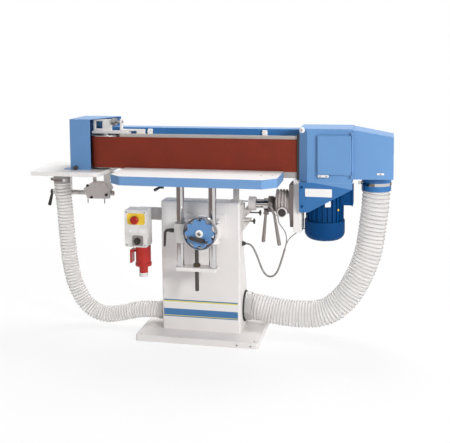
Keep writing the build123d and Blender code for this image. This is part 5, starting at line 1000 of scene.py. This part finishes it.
# Control box: a moulded case on an arm beside the column, with a red stop button, a switch, and a red mains
# inlet with a hinged lid below it. ABS has soft gloss and a fine grain; the windows are milky and smoother.
white_abs = moulded("white_abs", "#e2dfdc", 0.38, 1.2, 0.1)
red_abs = moulded("red_abs", "#b01c12", 0.3, 1.5, 0.06)
dress("control_box", 1.2, white_abs)
box_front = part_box("control_box")[0][1] * 1000
window_clear = moulded("milky_polycarbonate", "#f0eeec", 0.22, 2.0, 0.04)
switch_grey = moulded("grey_nylon", "#918a88", 0.42, 1.2, 0.12)
lid_thick = 1.6
for name, x0, x1, z0, z1, raised, thick, corner, finish in (
    ("box_lid", -345, -245, 446, 612, 0.0, lid_thick, 7, white_abs),
    ("stop_plate", -336, -249, 549, 603, lid_thick, 1.2, 12, yellow_plastic),
    ("window_left", -328, -286, 511, 531, lid_thick, 2.0, 3, window_clear),
    ("window_right", -282, -248, 511, 531, lid_thick, 2.0, 3, window_clear),
    ("switch_frame", -328, -248, 448, 508, lid_thick, 0.8, 4, white_abs),
    ("switch_plate", -311, -258, 449, 498, 2.4, 2.4, 7, switch_grey),
):
    sheet_plate(name, "stand", ((x0 + x1) / 2, box_front - raised, (z0 + z1) / 2), front,
                (x1 - x0, z1 - z0, thick), corner, finish)
lid_spots = [((x, box_front - lid_thick, z), front) for x in (-339, -251) for z in (451, 607)]
screws("box_lid_screws", "stand", lid_spots, 3.6, 1.4, switch_grey, sink_mm=-0.9)
dress("estop_button", 1.0, red_abs)
dress("switch_knob", 0.8, black_plastic)
dress("mains_inlet", 0.8, red_abs)
lathe("inlet_sleeve", "stand", (-272, -154, 291.2), up,
      [(0, 18.5), (0, 21.2), (1, 21.9), (19, 21.9), (20, 21.2), (20, 18.5)], white_abs, ring=True)
dress("inlet_lid", 1.2, red_abs)

# Cables: a grey corrugated conduit leaves the column by a gland and splits into two thin leads,
# one to the tilt hub's limit switch and one to the motor's terminal box. All three are half-matt grey PVC.
conduit_route = [
    (206, -65, 449), (225, -65, 449), (243, -65, 432), (257, -65, 403), (269, -65, 372), (280, -65, 341),
    (294, -65, 312), (314, -65, 294), (338, -65, 296), (356, -65, 315), (369, -65, 346), (381, -65, 385.2),
    (394, -65, 432),
]
switch_route = [
    (394, -67.6, 432), (402, -67.6, 460.8), (403, -67.6, 491), (393, -67.6, 519), (376, -67.6, 541),
    (362, -67.6, 562), (362, -67.6, 588),
]
motor_route = [
    (394, -62.4, 432), (402, -62.4, 460.8), (418, -52, 484), (440, -28, 500), (463, 3, 510), (487, 36, 516),
    (509, 62, 525), (527, 81, 540), (540, 87.5, 562), (540, 87.5, 588),
]
conduit_r = 0.005
lead_r = 0.0024


def cord_line(route, fineness):
    """Points along the smooth curve that a route's own spline makes; the route is in millimetres."""
    curve = bpy.data.curves.new("line", "CURVE")
    curve.dimensions = "3D"
    spline = curve.splines.new("NURBS")
    spline.points.add(len(route) - 1)
    for spot, place in zip(spline.points, route):
        spot.co = (place[0] / 1000, place[1] / 1000, place[2] / 1000, 1.0)
    spline.order_u = 3
    spline.use_endpoint_u = True
    spline.resolution_u = fineness
    holder = show("line", curve)
    made = bpy.data.meshes.new_from_object(holder.evaluated_get(bpy.context.evaluated_depsgraph_get()))
    line = [spot.co.copy() for spot in made.vertices]
    bpy.data.objects.remove(holder)
    bpy.data.curves.remove(curve)
    bpy.data.meshes.remove(made)
    return line


def rings_of(pitch, depth, radius):
    """Round rings on a conduit, a pitch apart; with no depth, a plain lead."""
    return lambda along, total, turn: radius - depth * (0.5 + 0.5 * cos(2 * pi * along / pitch))


grey_pvc = moulded("grey_pvc", "#8d8987", 0.45, 0.8, 0.1)
dress("cable_gland", 0.6, black_plastic)
ring_pitch, ring_depth = 0.0055, 0.0007
for name, node, route, fineness, sides, radius, depth, start, end in (
    ("conduit", "cable_conduit", conduit_route, 24, 20, conduit_r, ring_depth,
     (0.206, -0.065, 0.449), (0.394, -0.065, 0.440)),
    ("switch_lead", "switch_cable", switch_route, 16, 14, lead_r, 0.0,
     (0.394, -0.0676, 0.400), (0.362, -0.0676, 0.588)),
    ("motor_lead", "motor_cable", motor_route, 16, 14, lead_r, 0.0,
     (0.394, -0.0624, 0.400), (0.540, 0.0875, 0.588)),
):
    line = cord_line(route, fineness)
    cord = tube(name, line, sides, rings_of(ring_pitch, depth, radius))
    cord.data.materials.append(grey_pvc)
    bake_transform(cord)
    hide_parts(node)
    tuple(line[0])
    line_length(line)

# Extraction hoses: clear polyurethane wound round a wire helix. The large one runs from the duct's collar,
# the small one from the side table's port, and both go into the column's sides.
right_route = [
    (811, 0, 761.7), (811, 0, 660), (796, 0, 540), (779, 0, 410), (731, 0, 285), (670, 0, 183), (585, 0, 112),
    (470, 0, 97), (345, 0, 104), (255, 0, 122), (185, 0, 125),
]
left_route = [
    (-724, -50, 751.7), (-724, -50, 690), (-712, -50, 600), (-707, -50, 495), (-699, -50, 390),
    (-688, -50, 285), (-664, -50, 190), (-616, -50, 105), (-548, -50, 60), (-478, -50, 53), (-400, -50, 73),
    (-320, -50, 93), (-252, -50, 96), (-185, -50, 95),
]
hose_wall = 0.0014
hose_sides, hose_fineness = 44, 80
plain_end = 0.040


def helix_rib(crest, root, pitch, pitch_low):
    """A rib wound along a hose, between plain ends; its turns close up from the hanging end on."""
    fullness = 0.6

    def radius_at(along, total, turn):
        if along < plain_end or along > total - plain_end:
            return crest
        turns = along / pitch + (1 / pitch_low - 1 / pitch) * along**2 / (2 * total)
        phase = (turns + turn) % 1.0
        bulge = max(0.0, cos(2 * pi * (phase - 0.5))) ** fullness
        return root + (crest - root) * bulge

    return radius_at


def clear_hose():
    """Thin clear polyurethane: milky, glossy, with light passing through, and a grey wire in each rib."""
    cloud_mm = 70
    material, tree, place = start_material("clear_polyurethane")
    cloud = add(tree, "TexNoise", {"Scale": 1000 / cloud_mm, "Detail": 3.0}, {"Vector": place})
    tint = add(tree, "Mix", {"data_type": "RGBA", "A": linear("#f8f7f6"), "B": linear("#fefdfc")},
               {"Factor": cloud})
    rib = add(tree, "Attribute", {"attribute_name": "rib"})
    wire = add(tree, "MapRange", {"From Min": 0.45, "From Max": 0.97, "To Min": 0.0, "To Max": 0.6},
               {"Value": rib.outputs["Fac"]})
    wound = add(tree, "Mix", {"data_type": "RGBA", "B": linear("#bfb9b6")},
                {"Factor": wire, "A": tint.outputs["Result"]})
    set_shader(tree, {"Base Color": wound.outputs["Result"]},
               {"Roughness": 0.2, "IOR": 1.08, "Transmission Weight": 0.72})
    return material


hose_clear = clear_hose()
# Each hose ends in a soft moulded cuff, lipped where it meets the column.
cuff_from = 199.0
cuff_sides = 64
cuff_outline = [(0.0, 0.2), (0.0, 4.5), (3.0, 5.5), (6.0, 4.2), (22.0, 3.2), (28.0, 2.0), (29.0, 0.4)]
for name, node, route, crest, root, pitch, pitch_low, declared, off_axis in (
    ("large_hose", "right_hose", right_route, 0.064, 0.0605, 0.0205, 0.0135, 0.12, 0.0296),
    ("small_hose", "left_hose", left_route, 0.0405, 0.0375, 0.0165, 0.0135, 0.08, 0.015),
):
    line = cord_line(route, hose_fineness)
    hose = tube(name, line, hose_sides, helix_rib(crest, root, pitch, pitch_low), hose_wall, (root, crest))
    hose.data.materials.append(hose_clear)
    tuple(line[-1])
    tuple(line[0])
    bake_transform(hose)
    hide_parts(node)
    end_x, end_y, end_z = route[-1]
    side = 1 if end_x > 0 else -1
    cuff = lathe(name + "_cuff", "stand", (side * cuff_from, end_y, end_z), (side, 0, 0),
                 [(reach, crest * 1000 + rise) for reach, rise in cuff_outline], hose_clear, cuff_sides, True)
    line_length(line)
